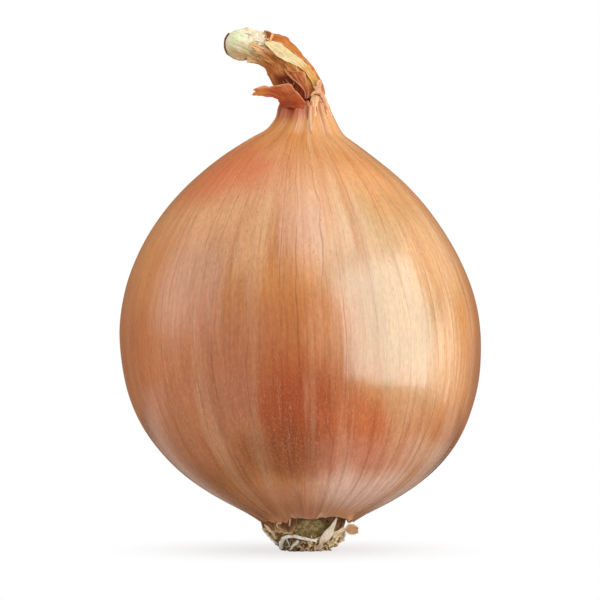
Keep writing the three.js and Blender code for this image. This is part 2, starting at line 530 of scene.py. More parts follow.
class Line:
    """A smooth line through points, read by the length along it."""

    SAMPLES = 24

    def __init__(self, points: Points) -> None:
        """Runs a centripetal spline through the points.

        Args:
            points: The points in millimetres.
        """
        knots = [Vector(point) for point in points]
        knots = [2 * knots[0] - knots[1], *knots, 2 * knots[-1] - knots[-2]]
        self.places = [knots[1]]
        for index in range(1, len(knots) - 2):
            for step in range(1, self.SAMPLES + 1):
                self.places.append(self._between(knots[index - 1:index + 3], step / self.SAMPLES))
        self.lengths = [0.0]
        for start, end in zip(self.places, self.places[1:]):
            self.lengths.append(self.lengths[-1] + (end - start).length)

    @staticmethod
    def _between(knots: Sequence[Vector], share: float) -> Vector:
        """Reads the spline between the middle two of four knots.

        Args:
            knots: Four knots.
            share: How far between the second and the third.

        Returns:
            The point there.
        """
        times = [0.0]
        for start, end in zip(knots, knots[1:]):
            times.append(times[-1] + (end - start).length ** 0.5)
        now = lerp(times[1], times[2], share)
        level = list(knots)
        for spans in (((0, 1), (1, 2), (2, 3)), ((0, 2), (1, 3)), ((1, 2),)):
            parts = [(now - times[low]) / (times[high] - times[low]) for low, high in spans]
            level = [level[index].lerp(level[index + 1], part)
                     for index, part in enumerate(parts)]
        return level[0]

    @property
    def length(self) -> float:
        """The whole length in millimetres."""
        return self.lengths[-1]

    def at(self, station: float) -> tuple[Vector, Vector]:
        """Reads the line at a length along it.

        Args:
            station: The length in millimetres; past an end the line goes straight on.

        Returns:
            The point and the direction there.
        """
        held = min(max(station, 0.0), self.length)
        index = next(i for i in range(1, len(self.lengths)) if self.lengths[i] >= held)
        start, end = self.places[index - 1], self.places[index]
        reach = self.lengths[index] - self.lengths[index - 1]
        place = start.lerp(end, (held - self.lengths[index - 1]) / reach)
        before = self.places[max(index - 2, 0)]
        after = self.places[min(index + 1, len(self.places) - 1)]
        along = (after - before).normalized()
        return place + along * (station - held), along


# Finishes


@dataclass(frozen=True)
class Coating:
    """What a finish lays on: its colour, roughness, relief in millimetres and share of the coat."""

    colour: Any
    roughness: Any
    relief: Any
    coat: Any = 1.0


@dataclass(frozen=True)
class Finish:
    """A matt or satin finish; each kind paints its own coating.

    Attributes:
        name: The material's name.
        specular: Strength of the plain reflection.
        index: Its index of refraction.
        coat: Weight of the clear coat.
        coat_roughness: Its roughness.
    """

    name: str
    specular: float = 0.4
    index: float = 1.5
    coat: float = 0.0
    coat_roughness: float = 0.3

    def paint(self, tree: Tree) -> Coating:
        """Lays on the coating; every kind of finish has its own."""
        raise NotImplementedError

    def material(self) -> Material:
        """Makes the material.

        Returns:
            The material, with the coating in a principled shader.
        """
        material = bpy.data.materials.new(self.name)
        material.use_nodes = True
        material.node_tree.nodes.clear()
        tree = Tree(material.node_tree)
        coating = self.paint(tree)
        bump = {"Strength": 1.0, "Distance": MM, "Height": coating.relief}
        ports = {"Base Color": coating.colour, "Roughness": coating.roughness,
                 "Normal": tree.add("ShaderNodeBump", ports=bump),
                 "Specular IOR Level": self.specular,
                 "IOR": self.index, "Coat Weight": self.coat * coating.coat,
                 "Coat Roughness": self.coat_roughness}
        tree.end("ShaderNodeOutputMaterial", tree.add("ShaderNodeBsdfPrincipled", ports=ports))
        return material


def mark_of(tree: Tree) -> Value:
    """Reads the mark that a mesh keeps at each vertex."""
    return tree.add("ShaderNodeAttribute", {"attribute_name": "mark"}, output="Vector")


def place_of(tree: Tree) -> Value:
    """Reads the place on the object in millimetres."""
    return tree.stretch(tree.add("ShaderNodeTexCoord", output="Object"), (1 / MM, 1 / MM, 1 / MM))


def patched(tree: Tree, colour: Any, patches: Sequence[Patch], wander: Value) -> Any:
    """Lays patches over a colour.

    Args:
        tree: The material's tree.
        colour: The colour under them.
        patches: The patches, from the first laid to the last.
        wander: How far their edges wander.

    Returns:
        The colour with the patches on it.
    """
    place = place_of(tree)
    for number, (tone, middle, reach, weight) in enumerate(patches):
        centred = tree.move(place, tuple(-value for value in middle))
        scaled = tree.stretch(centred, tuple(1.0 / value for value in reach))
        away = tree.add("ShaderNodeVectorMath", {"operation": "LENGTH"}, {0: scaled}, "Value")
        moved = tree.move(place, (number * 31.0, 0.0, 0.0))
        loose = tree.noise(moved, (0.06, 0.06, 0.035), 2.0) - 0.5
        share = (away + wander + loose * 1.1).span(1.3, 0.3, 0.0, weight)
        colour = tree.blend(colour, tone, share)
    return colour


@dataclass(frozen=True)
class SkinFinish(Finish):
    """The bulb's papery skin: broad patches, some of them painted highlights, reflections and
    shade, a painted shade on the belly's two sides, and streaks, veins and flecks from root to
    neck.

    Its marks are the direction round the bulb, as cosine and sine, and the share of the way up.

    Attributes:
        tan: The tone under the patches.
        deep: The dark of the streaks.
        pale: The light of the streaks.
        vein: The tone of the veins, the folds and the dots.
        fleck: The tone of the flecks.
        rim: The rusty tone painted on the belly's two sides as shade, darkest where the skin turns
            away from the front.
        shift: Moves the marks to another part of the noise.
        patches: The broad patches, from the first laid to the last; some are painted highlights and
            sheen, painted reflections of the floor and painted shade at the rims.
    """

    tan: Colour = (211, 140, 75)
    deep: Colour = (168, 82, 34)
    pale: Colour = (238, 200, 150)
    vein: Colour = (124, 46, 12)
    fleck: Colour = (228, 172, 130)
    rim: Colour = (142, 50, 14)
    shift: Triple = (3.0, 1.0, 0.0)
    patches: Sequence[Patch] = (
        ((230, 158, 104), (0, 0, 8), (60, 60, 22), 0.8),
        # Partly painted sheen: the next four patches are paler, greyer tones across the upper
        # front, where the top and right-hand highlights fall.
        ((224, 168, 124), (-16, -30, 72), (20, 30, 16), 0.75),
        ((226, 164, 124), (-4, -26, 83), (12, 24, 8), 0.4),
        ((240, 172, 112), (21, -18, 76), (18, 24, 14), 0.75),
        ((184, 150, 98), (19, -30, 56), (19, 30, 26), 0.85),
        ((214, 98, 50), (-24, -12, 86), (20, 30, 10), 0.85),
        ((168, 106, 70), (-22, -32, 60), (9, 20, 12), 0.5),
        ((198, 122, 82), (-25, -24, 38), (20, 30, 26), 0.85),
        # Painted shade: a darker rusty tone at the left rim.
        ((164, 70, 22), (-43, 0, 36), (14, 44, 34), 0.85),
        ((204, 142, 96), (41, -4, 46), (8, 30, 15), 0.7),
        ((176, 114, 80), (41, -2, 33), (8, 30, 14), 0.65),
        # Painted highlight: carries the right-hand highlight lower on the right.
        ((236, 196, 158), (29, -28, 38), (8, 20, 8), 0.3),
        # Painted shade: darker towards the lower right rim, where the light falls off.
        ((168, 92, 46), (36, -12, 22), (12, 26, 12), 0.75),
        ((182, 110, 76), (-12, -36, 40), (11, 30, 18), 0.7),
        ((182, 92, 38), (-1, -37, 41), (10, 28, 16), 0.6),
        ((176, 74, 22), (0, -37, 31), (12, 28, 14), 0.95),
        # Painted highlight: the soft left edge of the right-hand highlight.
        ((216, 146, 98), (5, -37, 49), (5, 20, 8), 0.5),
        ((200, 104, 54), (14, -34, 28), (14, 28, 9), 0.9),
        ((206, 148, 102), (23, -28, 30), (6.5, 26, 10), 0.6),
        # A pinkish tone low in front, partly a painted reflection of the floor.
        ((210, 136, 106), (13, -32, 20), (14, 28, 7), 0.8),
        ((146, 74, 26), (-6, -34, 22), (11, 26, 9), 0.8),
        ((192, 122, 78), (-26, -20, 22), (13, 26, 9), 0.8),
        ((160, 94, 42), (-17, -26, 15), (10, 20, 7), 0.5),
        # Painted reflection: the pale pink sheen of the floor low in front.
        ((246, 204, 180), (12, -24, 13), (14, 22, 7), 0.95),
        ((206, 134, 94), (-4, -24, 10), (14, 20, 7), 0.7),
        ((178, 90, 46), (8, 34, 42), (20, 22, 26), 0.8),
        ((212, 150, 90), (-24, 26, 64), (22, 26, 26), 0.7),
        ((176, 54, 0), (-4.6, -6, 98.0), (9.6, 9, 3.4), 1.0),
        ((228, 168, 112), (7, -6, 92), (8, 10, 8), 0.7),
        # Painted highlight: the next three paler patches carry the right-hand highlight up and out
        # towards the right rim.
        ((220, 176, 130), (20, -28, 68), (14, 26, 7), 0.5),
        ((232, 180, 130), (29, -22, 64), (9, 26, 11), 0.75),
        ((242, 198, 156), (30.6, -22, 46), (4, 24, 13), 0.8),
        ((200, 130, 80), (0, -32, 71), (6, 24, 7), 0.5),
        # Painted sheen: a pale spot low on the right.
        ((222, 178, 146), (27, -24, 21), (7, 24, 5), 0.6),
    )

    def paint(self, tree: Tree) -> Coating:
        """Lays patches first, then streaks, mottle, veins and flecks.

        Args:
            tree: The material's tree.

        Returns:
            The skin's coating.
        """
        mark = tree.move(mark_of(tree), self.shift)
        _, _, height = tree.split(place_of(tree))
        ribbons = tree.noise(mark, (9.0, 9.0, 2.2), 3.0, 0.6)
        streaks = tree.noise(mark, (36.0, 36.0, 5.0), 3.0, 0.6)
        fibres = tree.noise(mark, (105.0, 105.0, 22.0), 3.0, 0.6)
        mottle = tree.noise(mark, (60.0, 60.0, 90.0), 3.0, 0.6)

        wander = (ribbons - 0.5) * 0.55 + (streaks - 0.5) * 0.6
        colour = patched(tree, self.tan, self.patches, wander)
        bands = tree.noise(mark, (4.0, 4.0, 1.4), 2.0)
        calm = height.span(3.0, 28.0, 0.35, 1.0)
        for pattern, dark, light in ((bands, 0.2, 0.2), (ribbons, 0.2, 0.16), (streaks, 0.17, 0.1)):
            colour = tree.blend(colour, self.deep, pattern.span(0.51, 0.7, 0.0, dark) * calm)
            colour = tree.blend(colour, self.pale, pattern.span(0.47, 0.3, 0.0, light) * calm)
        colour = tree.shade(tree.shade(colour, fibres, 1.06, 0.92), mottle, 1.07, 0.9)

        veins = self._veins(tree, mark, 5.5, 0.03) + 0.4 * self._veins(tree, mark, 15.0, 0.05)
        folds = self._veins(tree, tree.move(mark, (5.0, 3.0, 0.0)), 7.0, 0.16)
        colour = tree.blend(colour, self.vein, folds * height.span(44.0, 22.0, 0.04, 0.26))
        colour = tree.blend(colour, self.vein, veins * calm * 0.4)
        flecks = tree.noise(mark, (170.0, 170.0, 190.0), 1.0).span(0.56, 0.7)
        colour = tree.blend(colour, self.fleck, flecks * height.span(56.0, 26.0, 0.04, 0.28))
        dots = tree.noise(tree.move(mark, (9.0, 4.0, 2.0)), (85.0, 85.0, 150.0), 1.0)
        dots = dots.span(0.66, 0.76)
        colour = tree.blend(colour, self.vein, dots * height.span(36.0, 70.0, 0.1, 0.4))

        # Painted shade: the belly's left and right sides, where the skin turns away from the front,
        # take the darker rim tone, less so near the shoulder and the root.
        _, front, _ = tree.split(mark_of(tree))
        side = (front.math("ABSOLUTE") + 0.4 * (streaks - 0.5)).span(0.44, 0.1)
        edge = side * height.span(72.0, 36.0, 0.12, 1.0) * height.span(22.0, 42.0, 0.05, 1.0)
        colour = tree.blend(colour, self.rim, edge * 0.6)

        roughness = 0.15 + 0.1 * fibres
        relief = (0.05 * streaks + 0.022 * fibres - 0.02 * veins + 0.015 * mottle) * calm
        relief = relief * (1.0 - side * height.span(36.0, 24.0))
        return Coating(colour, roughness, relief, height.span(88.0, 94.0, 1.0, 0.0))

    def _veins(self, tree: Tree, mark: Value, count: float, width: float) -> Value:
        """Draws thin broken lines that run from root to neck.

        Args:
            tree: The material's tree.
            mark: The skin's mark.
            count: Lines to a unit of the turn.
            width: A line's width on the same scale.

        Returns:
            1 on a line and 0 off it.
        """
        bend = tree.noise(mark, (3.0, 3.0, 5.0), 2.0)
        sway = tree.vector(bend * 0.5, bend * -0.4, 0.0)
        spot = tree.move(tree.stretch(mark, (count, count, 0.0)), sway)
        ports = {"Vector": spot, "Scale": 1.0}
        settings = {"feature": "DISTANCE_TO_EDGE", "voronoi_dimensions": "2D"}
        distance = tree.add("ShaderNodeTexVoronoi", settings, ports)
        broken = tree.noise(mark, (count, count, 9.0), 2.0)
        return distance.span(width, 0.0) * broken.span(0.38, 0.6, 0.15, 1.0)


@dataclass(frozen=True)
class LeafFinish(Finish):
    """A papery leaf whose fibres run along it and whose torn rim is pale.

    Its marks are the distance across, the station along it, and the distance from the rim.

    Attributes:
        low: Its tone at the low end.
        high: Its tone at the high end.
        dark: The tone of its creases.
        light: The tone between them and at the rim.
        change: The stations between which low turns to high.
        contrast: Strength of the creases.
        rim: Strength of the pale rim, full at 0.5.
        rim_width: The rim's width.
        patches: Patches of other tones; some are painted shadows and painted highlights.
    """

    low: Colour = (171, 97, 45)
    high: Colour = (171, 97, 45)
    dark: Colour = (110, 50, 20)
    light: Colour = (232, 184, 126)
    change: tuple[float, float] = (3.0, 8.0)
    contrast: float = 1.0
    rim: float = 0.25
    rim_width: float = 0.22
    patches: Sequence[Patch] = ()

    def paint(self, tree: Tree) -> Coating:
        """Lays the low colour into the high one, then fibres, creases and the rim.

        Args:
            tree: The material's tree.

        Returns:
            The leaf's coating.
        """
        mark = mark_of(tree)
        _, station, inward = tree.split(mark)
        broad = tree.noise(mark, (0.6, 0.3, 0.0), 2.0)
        fibres = tree.noise(mark, (2.6, 0.26, 0.0), 4.0, 0.62)
        fine = tree.noise(mark, (9.0, 0.9, 0.0), 3.0, 0.6)
        colour = tree.blend(self.low, self.high, (station + 4.0 * broad - 2.0).span(*self.change))
        colour = patched(tree, colour, self.patches, fibres - 0.5)
        edge = (inward - 0.2 * fine).span(self.rim_width, 0.04, 0.0, self.rim * 2.0)
        for tone, share in ((self.dark, broad.span(0.5, 0.7, 0.0, 0.35 * self.contrast)),
                            (self.dark, fibres.span(0.5, 0.7, 0.0, 0.6 * self.contrast)),
                            (self.light, fibres.span(0.46, 0.3, 0.0, 0.6 * self.contrast)),
                            (self.light, edge)):
            colour = tree.blend(colour, tone, share)
        colour = tree.shade(colour, fine, 1.14, 0.84)
        return Coating(colour, 0.42 + 0.2 * fine, 0.2 * fibres + 0.06 * fine)


@dataclass(frozen=True)
class PithFinish(Finish):
    """The stalk's cured pith: dark low down, pale and lumpy at its tip.

    Its marks run round the stalk, slanting, and along it.

    Attributes:
        dark: Its tone low down.
        brown: Its tone above that and in the creases.
        cream: The tip's tone.
        green: The tone of the tip's patches.
        buff: The tone of the tip's lower side.
        change: The stations between which it turns pale.
    """

    dark: Colour = (152, 48, 20)
    brown: Colour = (160, 98, 52)
    cream: Colour = (230, 226, 198)
    green: Colour = (212, 220, 170)
    buff: Colour = (190, 156, 108)
    change: tuple[float, float] = (13.0, 18.5)

    def paint(self, tree: Tree) -> Coating:
        """Lays dark, brown and pale stretches, then green patches and brown creases.

        Args:
            tree: The material's tree.

        Returns:
            The pith's coating.
        """
        mark = mark_of(tree)
        _, _, station = tree.split(mark)
        broad = tree.noise(mark, (0.3, 0.3, 0.3), 3.0, 0.6)
        creases = tree.noise(mark, (1.7, 1.7, 0.34), 4.0, 0.65)
        fine = tree.noise(mark, (5.0, 5.0, 1.6), 3.0, 0.6)
        colour = tree.blend(self.dark, self.brown, station.span(4.0, 10.0))
        _, _, height = tree.split(place_of(tree))
        tip = tree.blend(self.cream, self.green, broad.span(0.42, 0.62))
        tip = tree.blend(tip, self.buff, (height + 6.0 * broad - 3.0).span(113.4, 109.6, 0.0, 0.85))
        colour = tree.blend(colour, tip, (station + 9.0 * creases - 4.5).span(*self.change))
        streaked = creases.span(0.52, 0.64) * station.span(23.0, 17.0, 0.3, 0.8)
        colour = tree.blend(colour, self.brown, streaked)
        colour = tree.shade(colour, fine, 1.1, 0.86)
        return Coating(colour, 0.55 + 0.15 * fine, 0.3 * creases + 0.07 * fine)


@dataclass(frozen=True)
class CorkFinish(Finish):
    """The root plate's cork: grainy and mottled below, dark olive in the hollow above.

    Its first mark is 1 in the hollow and 0 elsewhere.

    Attributes:
        olive: The hollow's dark tone and that of the lowest grains.
        khaki: The hollow's light tone.
        brown: The tone of low grains.
        tan: The tone of higher grains.
        cream: The tone of the highest grains.
    """

    olive: Colour = (138, 116, 70)
    khaki: Colour = (190, 168, 116)
    brown: Colour = (140, 86, 46)
    tan: Colour = (196, 150, 98)
    cream: Colour = (226, 202, 156)

    def paint(self, tree: Tree) -> Coating:
        """Lays mottled grains low down and the olive hollow above them.

        Args:
            tree: The material's tree.

        Returns:
            The cork's coating.
        """
        place = place_of(tree)
        hollow, _, _ = tree.split(mark_of(tree))
        grains = tree.noise(place, (1.1, 1.1, 1.3), 3.0, 0.6)
        fine = tree.noise(place, (4.0, 4.0, 4.0), 3.0, 0.6)
        stops = [(0.32, self.olive), (0.46, self.brown), (0.56, self.tan), (0.68, self.cream)]
        grainy = tree.add("ShaderNodeValToRGB", {"stops": stops}, {"Fac": grains})
        smooth = tree.blend(self.olive, self.khaki, grains.span(0.4, 0.65))
        colour = tree.shade(tree.blend(grainy, smooth, hollow), fine, 1.15, 0.7)
        return Coating(colour, 0.75 + 0.1 * fine, 0.35 * grains + 0.15 * fine)


@dataclass(frozen=True)
class RootletFinish(Finish):
    """Dried white rootlets, browned here and there.

    Attributes:
        white: Their own tone.
        brown: The tone of the browned stretches.
        spread: Brown stretches to a millimetre.
        shade: Brightness of those on the plate's left, as a share of that on its right.
    """

    white: Colour = (252, 246, 232)
    brown: Colour = (204, 164, 120)
    spread: float = 0.5
    shade: float = 1.0

    def paint(self, tree: Tree) -> Coating:
        """Lays brown patches and fine creases over white.

        Args:
            tree: The material's tree.

        Returns:
            The rootlets' coating.
        """
        place = place_of(tree)
        patches = tree.noise(place, (self.spread, self.spread, self.spread), 2.0)
        fine = tree.noise(place, (5.0, 5.0, 2.0), 3.0, 0.6)
        colour = tree.blend(self.white, self.brown, patches.span(0.5, 0.72, 0.0, 0.8))
        colour = tree.shade(colour, fine, 1.08, 0.85)
        aside, _, _ = tree.split(place)
        bright = (aside + 6.0 * patches - 3.0).span(-2.5, 1.5, self.shade, 1.0)
        colour = tree.blend(colour, bright, 1.0, "MULTIPLY")
        return Coating(colour, 0.6 + 0.1 * fine, 0.12 * fine)


class Slot(Enum):
    """The material slots."""

    SKIN = "skin"
    RUST = "rust_leaf"
    TAN = "tan_leaf"
    CREAM = "cream_leaf"
    PITH = "pith"
    CORK = "cork"
    ROOTLET = "rootlet"


def publish(piece: Object, slot: Slot, *nodes: str) -> None:
    """Attaches a finished piece to the onion's body and hides the CAD nodes that it stands for.

    Args:
        piece: The finished piece.
        slot: The material slot; not used.
        nodes: The CAD nodes that it replaces.
    """
    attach(piece, "root")
    if nodes:
        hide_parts(*nodes)
    LOG.info("%s: %d faces", piece.name, len(piece.data.polygons))


# The bulb


@dataclass
class Meridian:
    """The bulb's outline from the hem round the belly to the collar.

    Attributes:
        hem: Radius and height of the hem.
        hem_handle: Radius and height of the handle there.
        belly_height: Height of the widest place.
        belly_reach: How far the handles there reach down and up.
        shoulder: Radius and height of the place where the shoulder turns up to the neck.
        shoulder_slope: How far the handle there reaches out and up.
        shoulder_turn: The other handle's length, as a share of that.
        collar_handle: Radius and height of the handle at the collar.
        collar_radius: Radius of the collar.
    """

    hem: tuple[float, float] = (9.0, 5.0)
    hem_handle: tuple[float, float] = (12.3, 10.4)
    belly_height: float = 47.0
    belly_reach: tuple[float, float] = (33.0, 14.0)
    shoulder: tuple[float, float] = (10.5, 91.3)
    shoulder_slope: tuple[float, float] = (20.6, -12.3)
    shoulder_turn: float = 0.14
    collar_handle: tuple[float, float] = (5.6, 97.5)
    collar_radius: float = 5.0

    def curve(self) -> Object:
        """Makes the outline as a curve object, sized by the frame's bulb.

        Returns:
            The curve object.
        """
        low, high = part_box("bulb")
        belly, middle = (high.x - low.x) / 2 / MM, self.belly_height
        down, up = self.belly_reach
        collar = (self.collar_radius, high.z / MM)
        (x, z), (out, drop), turn = self.shoulder, self.shoulder_slope, -self.shoulder_turn
        knots = [
            (self.hem, self.hem, self.hem_handle),
            ((belly, middle), (belly, middle - down), (belly, middle + up)),
            (self.shoulder, (x + out, z + drop), (x + turn * out, z + turn * drop)),
            (collar, self.collar_handle, collar),
        ]
        data = bpy.data.curves.new("meridian", "CURVE")
        data.dimensions = "3D"
        spline = data.splines.new("BEZIER")
        spline.resolution_u = 64
        spline.bezier_points.add(len(knots) - 1)
        for point, row in zip(spline.bezier_points, knots):
            point.handle_left_type = point.handle_right_type = "FREE"
            places = [Vector((radius, 0.0, height)) * MM for radius, height in row]
            point.co, point.handle_left, point.handle_right = places
        return show("meridian", data)


@dataclass
class BulbSkin:
    """The papery skin, turned from the meridian and closed inside at the hem and the collar.

    Attributes:
        around: Faces round the bulb.
        rows: Vertices from pole to pole.
        start: Length along the meridian at which the hem is torn.
        hem_jag: Depth of the hem's small tears.
        hem_arch: How much higher the hem is torn at the front.
        collar_jag: Depth of the collar's small tears.
        pleat_depth: Depth of the even pleats round the collar.
        fold_depth: Depth of the uneven folds between them.
        dent_depth: Depth of broad dents.
        flute_depth: Depth of flutes from root to neck.
        rib_depth: Depth of fine ribs.
        pucker_depth: Depth of the puckers towards the root.
        nip_depth: How far the collar is drawn in below the cuff.
        pleats: How many even pleats there are.
        arch_angle: Where the hem's arch is, in degrees round the bulb from +X.
        lean: How far the bulb leans towards +X, as (height, distance) rows.
        lean_height: The height that lean is read up to.
        lean_reach: The widest range that it may have.
    """

    around: int = 360
    rows: int = 250
    start: float = 1.5
    hem_jag: float = 1.6
    hem_arch: float = 2.4
    collar_jag: float = 1.2
    pleat_depth: float = 0.3
    fold_depth: float = 1.1
    dent_depth: float = 0.9
    flute_depth: float = 0.3
    rib_depth: float = 0.1
    pucker_depth: float = 0.6
    nip_depth: float = 0.6
    pleats: int = 13
    arch_angle: float = -76.0
    lean: Table = ((0.0, 0.7), (14.0, 0.8), (32.0, 0.0), (50.0, -0.6), (74.0, -1.3), (88.0, -1.1),
                   (96.0, 0.2), (100.0, 0.3))
    lean_height: float = 100.0
    lean_reach: float = 4.0

    def make(self, finish: Finish) -> Object:
        """Builds the skin with its node tree.

        Args:
            finish: The skin's finish.

        Returns:
            The finished mesh object.
        """
        outline = Meridian().curve()
        length = outline.data.splines[0].calc_length()
        depths = ("start", "hem_jag", "hem_arch", "collar_jag", "pleat_depth", "fold_depth",
                  "dent_depth", "flute_depth", "rib_depth", "pucker_depth", "nip_depth")
        sizes = {name: getattr(self, name) * MM for name in depths}
        tree = GeometryTree("bulb_skin", {**sizes, "end": length})
        ports = {"Size X": 1.0, "Size Y": 1.0, "Vertices X": self.around + 1,
                 "Vertices Y": self.rows}
        grid = tree.add("GeometryNodeMeshGrid", ports=ports)
        across, up, _ = tree.split(tree.add("GeometryNodeInputPosition"))
        angle = (across + 0.5) * TURN
        cosine, sine = angle.math("COSINE"), angle.math("SINE")
        share = up + 0.5
        inside = 3.0 / (self.rows - 1)

        on_skin = (share - inside) / (1.0 - 2.0 * inside)
        on_skin = on_skin.math("MAXIMUM", 0.0).math("MINIMUM", 1.0)
        station = self._station(tree, tree.vector(cosine, sine, 0.0), on_skin)
        spot = {"Curves": tree.source, "Length": station}
        settings = {"mode": "LENGTH", "use_all_curves": False}
        here = tree.add("GeometryNodeSampleCurve", settings, spot, "Position")
        radius, _, height = tree.split(here)
        way = tree.add("GeometryNodeSampleCurve", settings, spot, "Tangent")
        out, _, rise = tree.split(way)
        mark = tree.vector(cosine, sine, station / length)
        relief = self._relief(tree, mark, angle, radius, height)
        radius = radius + relief * rise
        height = height - relief * out

        closing = [(0.0, 0.0), (0.34, 0.84), (0.67, 0.965), (1.0, 1.0)]
        for end, drop in ((share, 1.8 * MM), (1.0 - share, -1.2 * MM)):
            side = (end / inside).math("MINIMUM", 1.0)
            radius = radius * tree.add("ShaderNodeFloatCurve", {"points": closing}, {"Value": side})
            height = height + (1.0 - side) * drop

        rows = [(place / self.lean_height, 0.5 + offset / self.lean_reach)
                for place, offset in self.lean]
        ports = {"Value": height / (self.lean_height * MM)}
        lean = tree.add("ShaderNodeFloatCurve", {"points": rows}, ports) - 0.5
        lean = lean * (self.lean_reach * MM)
        place = tree.vector(radius * cosine + lean, radius * sine, height)
        ports = {"Geometry": tree.keep(grid, mark), "Position": place}
        placed = tree.add("GeometryNodeSetPosition", ports=ports)
        ports = {"Geometry": placed, "Distance": 0.001 * MM}
        tree.close(tree.add("GeometryNodeMergeByDistance", ports=ports), finish.material())
        return tree.bake("bulb_skin", outline)

    def _station(self, tree: GeometryTree, direction: Value, share: Value) -> Value:
        """Works out the length along the meridian, which the torn hem and collar cut short.

        Args:
            tree: The skin's tree.
            direction: The direction round the bulb.
            share: The share of the way from hem to collar.

        Returns:
            The length in metres.
        """
        turned = math.radians(self.arch_angle)
        toward = {0: direction, 1: (math.cos(turned), math.sin(turned), 0.0)}
        facing = tree.add("ShaderNodeVectorMath", {"operation": "DOT_PRODUCT"}, toward, "Value")
        tears = tree.noise(direction, (7.0, 7.0, 1.0), 5.0, 0.7).span(0.3, 0.75)
        hem = tree.size("start") + tears * tree.size("hem_jag")
        hem = hem + facing.span(0.72, 0.93) * tree.size("hem_arch")
        collar = tree.noise(direction, (5.0, 5.0, 1.0), 4.0, 0.7).span(0.35, 0.7)
        collar = collar * tree.size("collar_jag")
        return hem + (tree.size("end") - collar - hem) * share

    def _relief(self, tree: GeometryTree, mark: Value, angle: Value, radius: Value,
                height: Value) -> Value:
        """Works out how far the skin stands off the meridian.

        Args:
            tree: The skin's tree.
            mark: The skin's mark.
            angle: The angle round the bulb.
            radius: The meridian's radius.
            height: The meridian's height.

        Returns:
            The distance in metres, outwards.
        """
        def uneven(factors: Triple, detail: float = 2.0) -> Value:
            """Reads noise round 0."""
            return tree.noise(mark, factors, detail) - 0.5

        facets = 0.006 * (3.0 * angle).math("SINE") + 0.003 * (7.0 * angle).math("SINE")
        even = (self.pleats * angle + (2.0 * angle).math("SINE")).math("SINE")
        gather = (height / MM).span(84.0, 98.0)
        pucker = (height / MM).span(18.0, 6.0)
        relief = radius * facets + uneven((1.7, 1.7, 3.4)) * tree.size("dent_depth")
        wide = radius / (30.0 * MM)
        relief = relief + uneven((9.0, 9.0, 1.3), 3.0) * tree.size("flute_depth") * wide
        relief = relief + uneven((30.0, 30.0, 2.0)) * tree.size("rib_depth") * wide
        relief = relief + gather * even * tree.size("pleat_depth")
        relief = relief + gather * uneven((8.0, 8.0, 5.0), 3.0) * tree.size("fold_depth")
        nip = (-1.0 * angle.math("COSINE")).span(0.2, 1.0)
        nip = nip * (height / MM).span(91.2, 93.5) * (height / MM).span(98.0, 95.5)
        relief = relief - nip * tree.size("nip_depth")
        return relief + pucker * uneven((8.0, 8.0, 6.0), 3.0) * tree.size("pucker_depth")


# Strands


@dataclass
class Strand:
    """One strand: the points that it runs through and its radius at either end."""

    points: Points
    start_radius: float
    end_radius: float


@dataclass
class Strands:
    """Round strands along lines, slightly crooked, made by one node tree.

    Attributes:
        name: The piece's name.
        strands: The strands.
        wobble: How far they stray from their lines.
        crook: Bends to a millimetre.
        sides: Faces round a strand.
        step: Length between its rings.
        floor: The lowest that a strand may reach.
    """

    name: str
    strands: Sequence[Strand]
    wobble: float = 0.3
    crook: float = 0.6
    sides: int = 8
    step: float = 0.25
    floor: float = 0.0

    def make(self, finish: Finish) -> Object:
        """Builds the strands.

        Args:
            finish: Their finish.

        Returns:
            The finished mesh object.
        """
        sizes = {name: getattr(self, name) * MM for name in ("step", "wobble", "floor")}
        tree = GeometryTree(self.name, sizes)
        ports = {"Curve": tree.source, "Length": tree.size("step")}
        line = tree.add("GeometryNodeResampleCurve", {"mode": "LENGTH"}, ports)
        spot = tree.stretch(tree.add("GeometryNodeInputPosition"), (self.crook / MM,) * 3)
        ports = {"Vector": spot, "Scale": 1.0, "Detail": 2.0}
        stray = tree.add("ShaderNodeTexNoise", ports=ports, output="Color")
        stray = tree.move(stray, (-0.5, -0.5, -0.5))
        ports = {"Vector": stray, "Scale": tree.size("wobble") * 2.0}
        sway = tree.add("ShaderNodeVectorMath", {"operation": "SCALE"}, ports)
        line = tree.add("GeometryNodeSetPosition", ports={"Geometry": line, "Offset": sway})
        length = tree.add("GeometryNodeSplineParameter", output="Length") / MM
        line = tree.keep(line, tree.vector(0.0, length, 0.0))
        ports = {"Resolution": self.sides, "Radius": MM}
        circle = tree.add("GeometryNodeCurvePrimitiveCircle", ports=ports)
        ports = {"Curve": line, "Profile Curve": circle,
                 "Scale": tree.add("GeometryNodeInputRadius"), "Fill Caps": True}
        tube = tree.add("GeometryNodeCurveToMesh", ports=ports)
        x, y, z = tree.split(tree.add("GeometryNodeInputPosition"))
        held = tree.vector(x, y, z.math("MAXIMUM", tree.size("floor")))
        tube = tree.add("GeometryNodeSetPosition", ports={"Geometry": tube, "Position": held})
        tree.close(tube, finish.material())
        return tree.bake(self.name, self._lines())

    def _lines(self) -> Object:
        """Makes the lines as one curve object with the strands' radii.

        Returns:
            The curve object.
        """
        data = bpy.data.curves.new(self.name, "CURVE")
        data.dimensions = "3D"
        for strand in self.strands:
            line = Line(strand.points)
            count = max(int(line.length / self.step), 4)
            spline = data.splines.new("POLY")
            spline.points.add(count)
            for index, point in enumerate(spline.points):
                share = index / count
                place, _ = line.at(line.length * share)
                point.co = (*(place * MM), 1.0)
                point.radius = lerp(strand.start_radius, strand.end_radius, share)
        return show(self.name + "_lines", data)


# The neck


